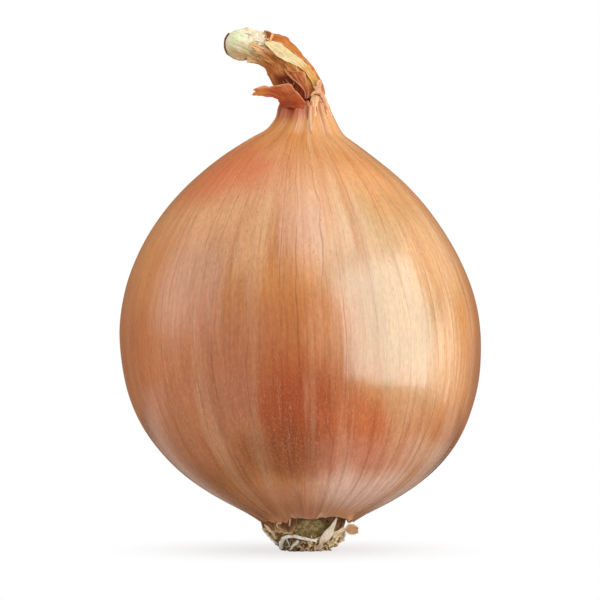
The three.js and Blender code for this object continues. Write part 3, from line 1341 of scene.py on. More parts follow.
@dataclass
class Leaf:
    """A leaf that lies along the stalk.

    Attributes:
        name: The piece's name.
        outline: Rows of a station along the stalk and the two angles that the leaf reaches round it
            there.
        finish: Its finish.
        slot: Its material slot.
        nodes: The CAD nodes that it stands for.
        seed: Picks its creases.
        lift: How far it stands off the stalk, as (station, distance) rows.
        close: Share of its width over which it closes onto the stalk at its first edge.
        curl: How far its two edges stand off besides.
        flare: How much of the curl there is, as (station, share) rows.
        crease: Depth of the creases along it.
        fold: Depth of the folds across it.
        tear: Depth of the tears at its two ends.
        ragged: Degrees by which its side edges wander.
        columns: Spots across it.
        rows: Spots along it.
    """

    name: str
    outline: Points
    finish: Finish
    slot: Slot
    nodes: Sequence[str]
    seed: float
    lift: Table = ((0.0, 0.15),)
    close: float = 0.0
    curl: tuple[float, float] = (0.0, 0.0)
    flare: Table = ((0.0, 1.0),)
    crease: float = 0.25
    fold: float = 0.1
    tear: tuple[float, float] = (0.6, 0.6)
    ragged: float = 4.0
    columns: int = 44
    rows: int = 90


@dataclass
class Ribbon:
    """A flat torn strip that runs along a line.

    Attributes:
        name: The piece's name.
        points: The points of its line.
        widths: Its width, as (share of its length, width) rows.
        finish: Its finish.
        seed: Picks its creases.
        lean: Degrees by which it turns about its line from start to end.
        crease: Depth of its creases.
        cup: How far its edges bend away from the onion.
        thickness: Its thickness.
        slot: Its material slot.
        nodes: The CAD nodes that it stands for.
        count: Spots along it.
        columns: Spots across it.
    """

    name: str
    points: Points
    widths: Table
    finish: Finish
    seed: float
    lean: tuple[float, float] = (0.0, 0.0)
    crease: float = 0.12
    cup: float = 0.0
    thickness: float = 0.16
    slot: Slot = Slot.CREAM
    nodes: Sequence[str] = ()
    count: int = 60
    columns: int = 16

    def make(self) -> None:
        """Builds and publishes the ribbon, its face turned away from the onion's axis."""
        line = Line(self.points)

        def spot(share: float, side: float) -> Spot:
            """Places one spot.

            Args:
                share: The share of the way along.
                side: The share of the way across.

            Returns:
                The spot.
            """
            side -= 0.5
            place, along = line.at(line.length * share)
            out = Vector((place.x, place.y, 0.0)).normalized()
            across = along.cross(out).normalized()
            out = across.cross(along).normalized()
            turn = math.radians(lerp(*self.lean, share))
            across, out = (across * math.cos(turn) + out * math.sin(turn),
                           out * math.cos(turn) - across * math.sin(turn))
            wide = read_table(self.widths, share) * (1 + 0.25 * grain(self.seed, share * 5.0, side))
            stand = self.crease * grain(self.seed + 1, share * line.length * 0.5, side * 6.0)
            stand += self.cup * 4.0 * side * side
            reach = 0.3 * grain(self.seed + 2, side * 7.0) * abs(2.0 * share - 1.0) ** 3
            here = place + across * (side * wide) + out * stand + along * reach
            edge = (0.5 - abs(side)) * wide
            return Spot(here, out, (side * wide + APART * self.seed, share * line.length, edge))

        piece = sheet(self.name, self.count, self.columns, spot, self.thickness,
                      self.finish.material())
        publish(piece, self.slot, *self.nodes)


@dataclass
class Scrap:
    """A crumpled scrap of paper.

    Attributes:
        name: The piece's name.
        centre: Its middle.
        out: Where it faces.
        along: Where it points when it isn't tilted.
        size: Its width.
        tilt: Degrees by which it turns about the way that it faces.
        seed: Picks its creases.
        curl: How far its corners tuck in; below 0 they lift.
        count: Spots each way.
        thickness: Its thickness.
    """

    name: str
    centre: Vector
    out: Vector
    along: Vector
    size: float
    tilt: float
    seed: float
    curl: float = -0.6
    count: int = 22
    thickness: float = 0.12

    def make(self, finish: Finish) -> None:
        """Builds and publishes the scrap.

        Args:
            finish: Its finish.
        """
        turn = math.radians(self.tilt)
        aside = self.along.cross(self.out).normalized()
        run = (self.along * math.cos(turn) + aside * math.sin(turn)).normalized()
        across = self.out.cross(run).normalized()

        def spot(up: float, side: float) -> Spot:
            """Places one spot.

            Args:
                up: The share of the way along.
                side: The share of the way across.

            Returns:
                The spot.
            """
            up, side = up - 0.5, side - 0.5
            way = math.atan2(up, side)
            ragged = self.size * (1.0 + 0.35 * grain(self.seed, math.cos(way), math.sin(way)))
            bend = 0.4 * grain(self.seed + 1, up * 2.0, side * 2.0)
            bend = bend - self.curl * (up * up + side * side) + 0.1
            bend += 0.06 * grain(self.seed + 2, up * 5.0, side * 5.0)
            here = self.centre + (run * (up * 1.3) + across * side) * ragged
            rim = (0.5 - max(abs(up), abs(side))) * self.size
            mark = (side * 1.8 + 9.0 * self.seed, up * 8.0, rim)
            return Spot(here + self.out * (bend * self.size * 0.75), self.out, mark)

        piece = sheet(self.name, self.count, self.count, spot, self.thickness, finish.material())
        publish(piece, Slot.CREAM)


@dataclass
class Neck:
    """The bent stalk and the torn leaves, cuff, scraps and strands round it.

    Attributes:
        path: The stalk's middle line.
        radius: The stalk's radius, as (station, radius) rows.
        tip: Length of its rounded end.
        collar: The skin's radius by height, for what lies on the collar.
        leaf_thickness: Thickness of a leaf.
        leaf_reach: A leaf's usual distance from the middle line.
        rows: Rings of the stalk.
        sides: Points round the stalk.
        line: The middle line, run through the path.
    """

    path: Points = ((0.4, 0.0, 99.0), (0.4, 0.0, 101.5), (-1.8, 0.3, 105.0),
                    (-5.8, 0.3, 109.4), (-11.4, 0.0, 111.9), (-17.2, -0.2, 112.0))
    radius: Table = ((0.0, 3.5), (2.8, 3.7), (6.8, 3.7), (12.8, 3.2), (17.0, 3.2), (21.5, 3.6),
                     (25.0, 3.5))
    tip: float = 3.0
    collar: Table = ((91.3, 10.6), (92.5, 9.3), (94.0, 8.0), (95.5, 7.0), (97.5, 5.9), (99.5, 5.1))
    leaf_thickness: float = 0.16
    leaf_reach: float = 4.0
    rows: int = 150
    sides: int = 120
    line: Line = field(init=False)

    def __post_init__(self) -> None:
        """Runs the middle line through its points."""
        self.line = Line(self.path)

    def beside(self, station: float, degrees: float, distance: float) -> Vector:
        """Finds a point beside the stalk.

        Args:
            station: How far along the stalk.
            degrees: 0 faces the front, 90 its outer side, 180 the back, -90 its inner side.
            distance: How far from the middle line.

        Returns:
            The point in millimetres.
        """
        place, along = self.line.at(station)
        front = (Vector((0.0, -1.0, 0.0)) + along * along.y).normalized()
        outer = along.cross(front)
        angle = math.radians(degrees)
        return place + front * (distance * math.cos(angle)) + outer * (distance * math.sin(angle))

    def make(self) -> None:
        """Builds and publishes every piece of the neck."""
        self._stalk()
        for leaf in self._leaves():
            self._leaf(leaf)
        self._tip_leaf()
        self._scraps()
        self._cuff()
        self._strands()

    def _stalk(self) -> None:
        """Builds the stalk with its lumpy rounded tip."""
        rings, marks = [], []
        end = self.line.length
        for row in range(self.rows + 1):
            station = end * row / self.rows
            shrink = 1.0
            if station > end - self.tip:
                deep = math.sin((station - end + self.tip) / self.tip * math.pi / 2)
                station = end - self.tip + self.tip * deep
                shrink = math.sqrt(max(1.02 - deep * deep, 0.0))
            core = read_table(self.radius, station)
            tip = ease(12.0, 17.0, station)
            ring, labels = [], []
            for side in range(self.sides):
                turn = side / self.sides * TURN
                slant = turn - 0.1 * station
                x, y = math.cos(slant) * core, math.sin(slant) * core
                lumps = 0.42 * tip * grain(1, x * 0.33, y * 0.33, station * 0.22)
                folds = 0.4 * grain(2, x * 0.75, y * 0.75, station * 0.13)
                ridge = max(0.0, 1.0 - 5.0 * abs(grain(4, x * 0.5, y * 0.5, station * 0.1)))
                fine = 0.12 * grain(3, x * 1.8, y * 1.8, station * 0.5) - 0.3 * tip * ridge
                slope = 1.0 - 0.14 * max(0.0, math.sin(turn)) * ease(end - 5.0, end - 1.0, station)
                distance = (core + lumps + folds + fine) * shrink * slope
                ring.append(self.beside(station, math.degrees(turn), distance))
                labels.append((x, y, station))
            rings.append(ring)
            marks.append(labels)
        stalk = loft("neck_stalk_pith", rings, marks, PithFinish("pith", 0.2).material())
        publish(stalk, Slot.PITH, "neck_stalk")

    def _leaf(self, leaf: Leaf) -> None:
        """Builds one leaf.

        Args:
            leaf: The leaf.
        """
        edge = Line([(station * 10.0, low, high) for station, low, high in leaf.outline])
        first, last = leaf.outline[0][0], leaf.outline[-1][0]
        table = [edge.at(edge.length * step / 80.0)[0] for step in range(81)]
        lows = [(place.x / 10.0, place.y) for place in table]
        highs = [(place.x / 10.0, place.z) for place in table]

        def spot(along: float, side: float) -> Spot:
            """Places one spot.

            Args:
                along: The share of the way along.
                side: The share of the way across.

            Returns:
                The spot.
            """
            fine = 0.4 * grain(8, side * 20.0)
            torn = [depth * max(0.0, grain(leaf.seed + end, side * 6.0) + fine + 0.35)
                    for end, depth in enumerate(leaf.tear)]
            station = lerp(first + torn[0], last - torn[1], along)
            low = read_table(lows, station) + leaf.ragged * grain(leaf.seed + 5, station * 0.7)
            high = read_table(highs, station) + leaf.ragged * grain(leaf.seed + 6, station * 0.7)
            degrees = lerp(low, high, side)
            across = math.radians(degrees) * self.leaf_reach
            crease = leaf.crease * (grain(leaf.seed, across, station * 0.12)
                                    + 0.5 * grain(leaf.seed + 3, across * 2.6, station * 0.25))
            crease += leaf.fold * grain(leaf.seed + 4, across * 0.5, station * 0.9)
            edges = leaf.curl[0] * ease(0.35, 0.0, side) + leaf.curl[1] * ease(0.65, 1.0, side)
            distance = read_table(self.radius, station) + 0.3 + crease
            distance += edges * read_table(leaf.flare, station)
            opened = ease(0.0, leaf.close, side) if leaf.close else 1.0
            lift = read_table(leaf.lift, station) * opened
            here = self.beside(station, degrees, distance + lift)
            middle, _ = self.line.at(station)
            rim = min(min(side, 1.0 - side) * math.radians(high - low) * self.leaf_reach,
                      min(along, 1.0 - along) * (last - first))
            mark = (across + APART * leaf.seed, station, rim)
            return Spot(here, (here - middle).normalized(), mark)

        piece = sheet(leaf.name, leaf.rows, leaf.columns, spot, self.leaf_thickness,
                      leaf.finish.material())
        publish(piece, leaf.slot, *leaf.nodes)

    @staticmethod
    def _leaves() -> list[Leaf]:
        """Lists the leaves from the inside out.

        Returns:
            The leaves.
        """
        torn = ((92, 42, 20), (-8.6, -2.5, 114.2), (1.8, 4.0, 1.6), 0.9)
        golden = ((198, 124, 54), (-0.8, -2.5, 109.5), (5.5, 5.0, 4.5), 0.85)
        rust = LeafFinish("rust_leaf", 0.15, low=(190, 108, 52), high=(184, 100, 40),
                          dark=(130, 56, 16), light=(226, 164, 110), contrast=0.8,
                          patches=(golden, torn))
        gold = LeafFinish("gold_leaf", 0.15, low=(194, 98, 36), high=(222, 168, 84),
                          change=(1.5, 5.0), dark=(150, 80, 30), light=(244, 206, 130))
        shadow = ((100, 14, 0), (-3.6, -3.0, 103.8), (3.6, 5.0, 1.8), 0.95)
        worn = ((146, 84, 36), (-6.8, -4.0, 108.3), (2.8, 5.0, 1.8), 0.6)
        blush = ((236, 182, 136), (-8.8, -4.0, 111.6), (4.6, 4.0, 2.2), 0.9)
        ruddy = ((172, 78, 24), (-7.5, -3.0, 105.0), (3.0, 5.0, 2.6), 0.7)
        pale = ((214, 190, 140), (-12.2, -3.0, 108.8), (3.6, 5.0, 2.6), 0.85)
        tan = LeafFinish("tan_leaf", 0.15, low=(170, 90, 30), high=(190, 120, 62),
                         dark=(104, 40, 8), light=(232, 182, 114), contrast=1.35,
                         patches=(blush, worn, ruddy, pale, shadow))
        flap = LeafFinish("flap", 0.15, low=(190, 106, 62), high=(186, 104, 54), dark=(120, 44, 12),
                          light=(232, 180, 134), rim=0.2,
                          patches=(((140, 62, 26), (-1.7, -5.0, 103.8), (1.7, 5.0, 1.8), 0.8),))
        cream = LeafFinish("cream_leaf", low=(204, 148, 66), high=(220, 198, 148),
                           change=(5.5, 9.0), dark=(180, 126, 66), light=(232, 216, 176),
                           contrast=0.7, rim=0.1)
        tab = LeafFinish("paper_tab", low=(206, 152, 118), high=(206, 152, 118), contrast=0.6)
        return [
            Leaf("back_leaf_sheet",
                 ((0.3, 204, 268), (5, 206, 262), (10, 200, 256), (15, 200, 236)),
                 tan, Slot.TAN, ["back_leaf"], 11),
            Leaf("gold_leaf_sheet", ((1.0, 8, 100), (3.3, 8, 100), (5.4, 10, 100), (9, 6, 96),
                                     (13, 20, 90), (16.6, 34, 80)),
                 gold, Slot.TAN, [], 16, crease=0.2, lift=((0.0, 0.0),)),
            Leaf("front_leaf_sheet", ((4.4, -95, -26), (5.8, -97, 4), (8.0, -98, 20), (11, -98, 10),
                                      (14.5, -92, 6), (19.4, -76, 2)),
                 tan, Slot.TAN, ["front_leaf"], 13, tear=(1.2, 4.2), crease=0.38, curl=(1.0, 0.2),
                 flare=((8.0, 1.0), (10.7, 0.8), (13.9, 0.0), (18.5, 0.5)),
                 lift=((0.0, 0.15), (13.0, 0.1), (18.0, -0.15))),
            Leaf("cream_leaf_sheet", ((1.4, 30, 58), (6.8, 26, 58), (9.1, 12, 48), (11.5, 0, 44),
                                      (13.5, -1, 46), (14.9, 5, 34), (16.6, 11, 16)),
                 cream, Slot.CREAM, ["cream_leaf"], 12, crease=0.24, lift=((0.0, 0.2), (7.0, 0.35)),
                 tear=(0.3, 0.5), curl=(0.25, 0.0)),
            Leaf("neck_flap", ((0.8, 1, 9), (3.3, -7, 12), (5.4, -12, 24), (7.4, -16, 3),
                               (9.4, -18, -15)),
                 flap, Slot.TAN, [], 17, lift=((0.0, 0.25), (5.0, 0.6), (9.0, 0.35)),
                 curl=(0.0, 0.35), tear=(0.2, 0.5), ragged=2.5, crease=0.3),
            Leaf("outer_leaf_sheet", ((0.5, 66, 198), (3.4, 66, 200), (4.7, 61, 200),
                                      (7.3, 62, 196), (9.6, 51, 192), (13.6, 47, 182),
                                      (15.1, 38, 172), (17.2, 36, 165)),
                 rust, Slot.RUST, ["outer_leaf"], 14,
                 lift=((0.0, 0.2), (2.1, 0.55), (3.2, 0.35), (4.4, 0.4), (8.4, 0.2), (11.0, 0.75),
                       (12.2, 0.8), (12.8, 1.15), (14.3, 0.9), (15.7, 0.25), (17.2, 0.4)),
                 close=0.4, curl=(0.2, 0.1), fold=0.14, tear=(0.3, 1.0)),
            Leaf("paper_tab", ((15.25, 36, 60), (15.5, 30, 68), (15.8, 38, 64)),
                 tab, Slot.CREAM, [], 18, lift=((0.0, 0.75),), tear=(0.1, 0.1)),
        ]

    def _tip_leaf(self) -> None:
        """Builds the brown leaf that cups the far end of the stalk."""
        centre, reach, count = Vector((-14.1, -0.1, 112.0)), Vector((3.5, 3.75, 3.72)), 36

        def spot(along: float, side: float) -> Spot:
            """Places one spot.

            Args:
                along: The share of the way up.
                side: The share of the way round.

            Returns:
                The spot.
            """
            row = along * (count - 1)
            rise = math.radians(lerp(-46.0, 46.0, along) * lerp(1.25, 0.72, side) + 1.0)
            wide = math.radians(lerp(-104.0, 13.0, side) + 7.0 * grain(51, row * 0.3, side))
            rag = rise + 0.1 * grain(52, side * 6.0)
            way = Vector((-math.cos(rag) * math.cos(wide), -math.cos(rag) * math.sin(wide),
                          math.sin(rag)))
            stand = 0.995 + 0.02 * grain(53, side * 5.0, row * 0.2) - 0.045 * ease(0.7, 1.0, side)
            here = centre + Vector((way.x * reach.x, way.y * reach.y, way.z * reach.z)) * stand
            return Spot(here, way, (side * 7.0 + APART, row * 0.15, min(1.0 - side, side) * 6.0))

        finish = LeafFinish("tip_leaf", low=(150, 84, 44), high=(176, 112, 66), rim=0.0)
        piece = sheet("tip_leaf_sheet", count, count, spot, self.leaf_thickness, finish.material())
        publish(piece, Slot.RUST, "tip_leaf")

    def _scraps(self) -> None:
        """Builds the crumpled scraps of paper where the stalk meets its tip."""
        finish = LeafFinish("paper", low=(228, 214, 182), high=(230, 224, 200),
                            dark=(204, 160, 116), light=(244, 240, 226), contrast=0.8, rim=0.0)
        places = ((19.6, 56, 2.3, 10), (18.4, 32, 2.5, -25), (17.6, 62, 2.3, 40),
                  (16.8, 30, 1.9, -50), (17.4, 12, 1.9, 15))
        for number, (station, degrees, size, tilt) in enumerate(places):
            middle, along = self.line.at(station)
            centre = self.beside(station, degrees, read_table(self.radius, station) - 0.05)
            out = (centre - middle).normalized()
            name = f"paper_scrap_{number + 1}"
            Scrap(name, centre, out, along, size, tilt, 60 + number, 0.45).make(finish)

    def _cuff(self) -> None:
        """Builds the torn cuff: a band round the front of the neck whose strip reaches left."""
        edges = Line([[0.7, -5.4, 98.9, 0.4, -5.5, 97.6], [-0.7, -5.9, 100.3, -0.7, -5.8, 97.6],
                      [-1.7, -6.0, 101.6, -2.4, -5.35, 97.6], [-2.9, -5.5, 102.9, -4.2, -4.1, 97.8],
                      [-4.6, -4.6, 102.9, -5.2, -3.2, 98.8], [-6.6, -3.5, 102.6, -5.9, -2.9, 99.9],
                      [-8.4, -2.9, 102.5, -8.4, -2.5, 100.3],
                      [-10.5, -2.6, 102.3, -11.3, -2.2, 100.5]])

        def spot(share: float, side: float) -> Spot:
            """Places one spot.

            Args:
                share: The share of the way along.
                side: The share of the way up.

            Returns:
                The spot.
            """
            both, along = edges.at(edges.length * share)
            top, foot = Vector(both[:3]), Vector(both[3:])
            outward = Vector((top.x, top.y, 0.0)).normalized()
            along = Vector((along[0] + along[3], along[1] + along[4], 0.0)).normalized()
            wave = 0.3 * grain(31, share * 10.0, side * 1.5) * ease(0.4, 1.0, side)
            wave += 0.25 * grain(35, share * 16.0) * ease(0.5, 0.0, side)
            belly = 0.5 * math.sin(math.pi * side) * ease(0.7, 0.5, share)
            crease = 0.14 * grain(32, share * 5.0, side * 4.0) + 0.3 * grain(34, share * 5.0) * side
            end = 0.6 * ease(0.9, 1.0, share) * (grain(33, side * 7.0) - 0.1)
            here = foot.lerp(top, side) + Vector((0.0, 0.0, wave))
            here = here + outward * (crease - belly) + along * end
            tall = (top - foot).length
            rim = min((1.0 - side) * tall, (1.0 - share) * edges.length)
            return Spot(here, outward, (side * tall, share * edges.length, rim))

        finish = LeafFinish("cuff", 0.2, low=(186, 88, 42), high=(176, 80, 34), change=(2.0, 7.0),
                            dark=(146, 52, 14), light=(236, 172, 122), contrast=0.5, rim=0.34,
                            rim_width=0.45,
                            # A lighter golden tone at the strip's left end, partly a painted glint.
                            patches=(((206, 134, 66), (-10.0, -3.0, 101.4), (2.6, 4.0, 2.0), 0.7),
                                     # Painted highlight: a lighter band along the cuff's upper
                                     # part.
                                     ((214, 122, 76), (-2.2, -5.5, 102.0), (3.6, 5.0, 1.3), 0.7),
                                     # Painted shadow: darker at the cuff's foot, where it meets the
                                     # collar.
                                     ((138, 48, 14), (-3.0, -5.0, 98.4), (5.5, 6.0, 1.5), 0.8)))
        thickness = self.leaf_thickness * 1.3
        piece = sheet("torn_cuff_sheet", 120, 36, spot, thickness, finish.material())
        publish(piece, Slot.RUST, "torn_cuff")

    def _on_collar(self, rows: Points, sunk: float = 0.0) -> list[list[float]]:
        """Lays (x, height) points on the front of the collar.

        Args:
            rows: The points.
            sunk: How far under its surface they lie.

        Returns:
            The points in three dimensions.
        """
        placed = []
        for x, height in rows:
            reach = read_table(self.collar, height)
            placed.append([x, sunk - math.sqrt(reach * reach - x * x), height])
        return placed

    def _strands(self) -> None:
        """Builds the knotted skin at the right of the neck, the strands that hang from it, and the
        dark strands that paint the shade in the collar's creases.
        """
        peach = LeafFinish("peach_strand", low=(214, 156, 114), high=(208, 152, 116),
                           dark=(150, 84, 44), light=(234, 190, 152), contrast=0.9)
        Ribbon("neck_knot_twist", ((3.4, -4.9, 101.4), (3.6, -4.6, 102.2), (3.7, -4.2, 103.0),
                                   (4.0, -3.6, 103.9)),
               ((0.0, 0.9), (0.4, 1.3), (0.8, 1.1), (1.0, 0.5)), peach, 81, cup=-0.3, thickness=0.3,
               nodes=["neck_knot"]).make()
        bands = ([[2.4, -5.3, 102.5], [3.2, -5.5, 101.7], [4.0, -5.0, 101.1], [4.6, -4.2, 100.7]],
                 [[1.8, -5.5, 100.3], [2.6, -5.6, 101.0], [3.5, -5.3, 101.2], [4.3, -4.5, 101.0]],
                 [[3.8, -5.0, 101.0], [4.5, -4.3, 100.0], [5.0, -3.4, 98.8], [5.5, -2.8, 97.6]])
        for number, (points, width) in enumerate(zip(bands, (0.75, 0.7, 0.8)), start=1):
            widths = ((0.0, width * 0.5), (0.3, width), (0.7, width), (1.0, width * 0.4))
            Ribbon(f"neck_band_{number}", points, widths, peach, 81 + number, cup=-0.22,
                   thickness=0.28).make()
        hanging = ((2.3, 100.5), (2.15, 99.4), (1.9, 97.6), (1.75, 95.0), (1.8, 92.0))
        cream = LeafFinish("cream_strand", low=(220, 170, 126), high=(216, 166, 120),
                           dark=(186, 122, 76), light=(238, 200, 160), contrast=0.6,
                           # Painted shadow: darker on the strip just under the knot.
                           patches=(((160, 88, 48), (3.3, -5.0, 100.3), (0.9, 4.0, 1.0), 0.85),))
        Ribbon("hanging_strand_strip", self._on_collar(hanging, -0.12),
               ((0.0, 0.5), (0.12, 0.8), (0.45, 0.65), (0.8, 0.45), (1.0, 0.2)),
               cream, 86, cup=-0.12, thickness=0.28, nodes=["hanging_strand"]).make()
        lines = (((3.3, 100.4), (3.9, 98.8), (4.4, 97.0), (5.0, 95.0)),
                 ((3.9, 100.6), (4.8, 99.2), (5.5, 97.4), (6.3, 95.7)),
                 ((2.9, 100.2), (2.6, 98.4), (2.6, 96.8), (2.4, 95.0)))
        skin = LeafFinish("collar_strand", low=(222, 160, 110), high=(216, 150, 100),
                          dark=(186, 108, 62), light=(236, 190, 144), contrast=0.7)
        strands = [Strand(self._on_collar(line, 0.4), 0.8, 0.3) for line in lines]
        publish(Strands("collar_strands", strands, wobble=0.15, sides=12).make(skin), Slot.CREAM)
        # Painted shade: thin dark strands sunk into the collar stand in for the shade in its
        # creases.
        creases = ((((3.3, 100.5), (3.8, 99.4), (4.4, 98.0), (5.2, 96.4)), 0.34, 0.06),
                   (((2.75, 99.2), (2.9, 98.0), (3.0, 96.8)), 0.16, 0.06),
                   (((1.2, 98.0), (1.0, 96.6), (0.9, 95.0)), 0.12, 0.05))
        dark = LeafFinish("collar_crease", low=(128, 56, 20), high=(150, 76, 36), contrast=0.6,
                          rim=0.0)
        strands = [Strand(self._on_collar(line, -0.12), start, end) for line, start, end in creases]
        publish(Strands("collar_creases", strands, wobble=0.12, sides=8).make(dark), Slot.TAN)


# The root end


@dataclass
class RootEnd:
    """The corky root plate with its stubs, rootlets and torn curls of skin.

    Attributes:
        profile: The plate's radius by height.
        shift: How far the plate leans to the right, by height.
        sides: Points round the plate.
        rows: Rings up its side.
        standoff: From the plate's side to a rootlet's middle line.
        rootlet_radius: A rootlet's radius.
        thick: The radius of those that differ, by number.
        front: The front rootlets, each as (x, height, how much further it stands off) rows.
        hooks: The other rootlets: degrees round the plate, drop, and turn in radians.
        stub_sizes: The stubs' lowest and highest place, radius and length.
        stub_density: Stubs to a square millimetre.
    """

    profile: Table = ((0.0, 4.1), (0.4, 4.7), (1.2, 5.8), (2.0, 6.7), (3.0, 7.5), (4.0, 8.1),
                      (5.0, 8.6), (6.0, 8.9), (7.0, 8.8), (8.4, 8.0))
    shift: Table = ((0.0, 0.5), (0.8, 0.7), (2.0, 1.1), (3.5, 0.8), (5.5, 0.1))
    sides: int = 260
    rows: int = 100
    standoff: float = 0.6
    rootlet_radius: float = 0.38
    thick: dict[int, float] = field(default_factory=lambda: {1: 0.52, 4: 0.22, 5: 0.3})
    front: Sequence[Points] = (
        ((-4.7, 0.8, 0.5), (-4.8, 2.2, 0.5), (-3.8, 3.4, 0.5), (-1.5, 3.6, 0.6), (1.1, 3.0, 0.6),
         (2.9, 2.5, 0.4)),
        ((7.4, 7.7, 2.2), (6.7, 6.2, 0.9), (5.7, 4.4, 0.6), (4.6, 2.8, 0.5), (3.7, 1.5, 0.4),
         (2.7, 0.4, 0.4)),
        ((-1.1, 2.5, 0.5), (-1.9, 1.6, 0.5), (-2.7, 0.6, 0.5)),
        ((-4.7, 6.6, 1.1), (-5.6, 6.4, 1.1), (-5.5, 5.6, 0.8), (-4.7, 5.1, 0.5)),
        ((-2.9, 8.7, 2.9), (-2.8, 7.4, 1.4), (-3.0, 6.0, 0.5)),
    )
    hooks: Points = ((18, 3.6, -0.2), (50, 3.0, 0.3), (86, 4.0, 0.35), (126, 2.6, -0.3),
                     (150, 3.8, 0.25), (186, 3.2, 0.2), (344, 2.8, 0.1))
    stub_sizes: tuple[float, float, float, float] = (0.5, 3.7, 0.42, 1.0)
    stub_density: float = 1.5

    def make(self) -> None:
        """Builds and publishes every piece of the root end."""
        publish(self._plate("root_plate_cork"), Slot.CORK, "root_plate")
        self._stubs()
        self._under_skin()
        self._rootlets()
        self._curls()

    def _rootlets(self) -> None:
        """Builds the rootlets; the second is a flat torn one."""
        white = RootletFinish("rootlet")
        pink = RootletFinish("pink_rootlet", white=(226, 186, 150), brown=(178, 128, 90))
        lines = [self._on_front(points) for points in self.front]
        lines += [self._hook(*row) for row in self.hooks]
        for index, points in enumerate(lines, start=1):
            if index == 2:
                widths = ((0.0, 0.3), (0.2, 0.9), (0.45, 2.2), (0.58, 2.0), (0.75, 1.1), (1.0, 0.3))
                pale = LeafFinish("flat_rootlet", low=(246, 232, 208), high=(228, 198, 162),
                                  dark=(172, 130, 92), light=(252, 244, 226), contrast=0.7)
                Ribbon("rootlet_2_strip", points, widths, pale, 71, lean=(-30.0, 30.0),
                       thickness=0.3, slot=Slot.ROOTLET, nodes=["rootlet_2"]).make()
                continue
            radius = self.thick.get(index, self.rootlet_radius)
            strand = Strand(points, radius, radius * 0.6)
            finish = pink if index in (4, 5) else white
            piece = Strands(f"rootlet_{index}_strand", [strand]).make(finish)
            publish(piece, Slot.ROOTLET, f"rootlet_{index}")
        wisps = [((2.6, 2.9), (3.6, 3.2), (4.8, 3.6)), ((-0.9, 1.4), (-0.2, 0.7), (0.5, 0.3)),
                 ((0.9, 1.2), (0.2, 0.6), (-0.3, 0.25)), ((4.3, 1.8), (4.0, 1.0), (3.3, 0.3)),
                 ((-3.9, 3.4), (-3.2, 2.2), (-3.0, 1.2)), ((-6.6, 4.9), (-6.2, 3.9), (-6.3, 3.2))]
        strands = [Strand(self._on_front(line), 0.22, 0.1) for line in wisps]
        publish(Strands("root_wisps", strands, sides=7).make(white), Slot.ROOTLET)

    def _curls(self) -> None:
        """Builds the torn curls of skin at either side of the plate, and the crust beside them."""
        right = LeafFinish("right_curl", low=(236, 214, 168), high=(196, 150, 110),
                           change=(2.2, 4.4), dark=(150, 98, 64), light=(248, 228, 192),
                           contrast=0.8, rim=0.5)
        left = LeafFinish("left_curl", low=(240, 220, 180), high=(226, 194, 150), contrast=0.5)
        Ribbon("root_curl_right_paper", ((6.3, -6.6, 3.7), (7.4, -6.5, 4.4), (8.6, -6.0, 5.0),
                                         (10.2, -5.2, 4.9), (12.1, -3.8, 4.7)),
               ((0.0, 1.4), (0.25, 0.7), (0.45, 0.8), (0.62, 2.3), (0.8, 2.6), (0.93, 1.9),
                (1.0, 0.9)),
               right, 72, lean=(0.0, 10.0), cup=0.3, thickness=0.22,
               nodes=["root_curl_right"]).make()
        Ribbon("root_curl_left_paper", ((-8.5, -3.4, 5.9), (-7.7, -5.7, 5.3), (-6.7, -6.9, 4.3),
                                        (-6.0, -7.1, 2.9)),
               ((0.0, 0.35), (0.4, 0.75), (0.7, 0.6), (1.0, 0.35)), left, 73, thickness=0.22,
               nodes=["root_curl_left"]).make()
        Ribbon("root_web", self._on_front(((5.6, 4.2), (4.2, 3.4), (2.9, 2.9), (1.7, 2.9))),
               ((0.0, 1.4), (0.5, 0.6), (1.0, 0.35)), left, 74, thickness=0.25,
               slot=Slot.ROOTLET).make()
        crust = LeafFinish("crust", low=(240, 218, 170), high=(232, 204, 152),
                           dark=(160, 108, 62), light=(250, 236, 204), contrast=0.9)
        places = ((6.9, 3.0, 1.7, 20), (7.6, 3.9, 1.8, -35), (6.0, 2.0, 1.3, 60),
                  (8.4, 4.6, 1.5, 10))
        for number, (x, height, size, tilt) in enumerate(places):
            centre = Vector(self._on_front([(x, height)])[0])
            out = Vector((centre.x, centre.y, -1.5)).normalized()
            along = Vector((-out.y, out.x, 0.0)).normalized()
            centre -= out * 0.25
            name = f"root_crust_{number + 1}"
            Scrap(name, centre, out, along, size, tilt, 80 + number).make(crust)

    def _on_front(self, points: Points) -> list[list[float]]:
        """Puts (x, height) points on the front of the plate, a little clear of its side.

        Args:
            points: The points; a third number stands a point off by that much more.

        Returns:
            The points in three dimensions.
        """
        placed = []
        for x, height, *more in points:
            reach = read_table(self.profile, height) + self.standoff + sum(more)
            aside = x - read_table(self.shift, height)
            placed.append([x, -math.sqrt(max(reach * reach - aside * aside, 0.0)), height])
        return placed

    def _hook(self, degrees: float, length: float, hook: float) -> list[list[float]]:
        """Runs a rootlet from the plate's side down and sideways.

        Args:
            degrees: Where it leaves, round the plate.
            length: How far it drops.
            hook: How far it turns, in radians.

        Returns:
            Its points.
        """
        points = []
        for share in (0.0, 0.35, 0.7, 1.0):
            height = 4.8 - length * share
            reach = read_table(self.profile, height) + self.standoff
            reach += 0.3 * math.sin(math.pi * share)
            turn = math.radians(degrees) + hook * share * share
            aside = read_table(self.shift, height)
            points.append([reach * math.cos(turn) + aside, reach * math.sin(turn), height])
        return points

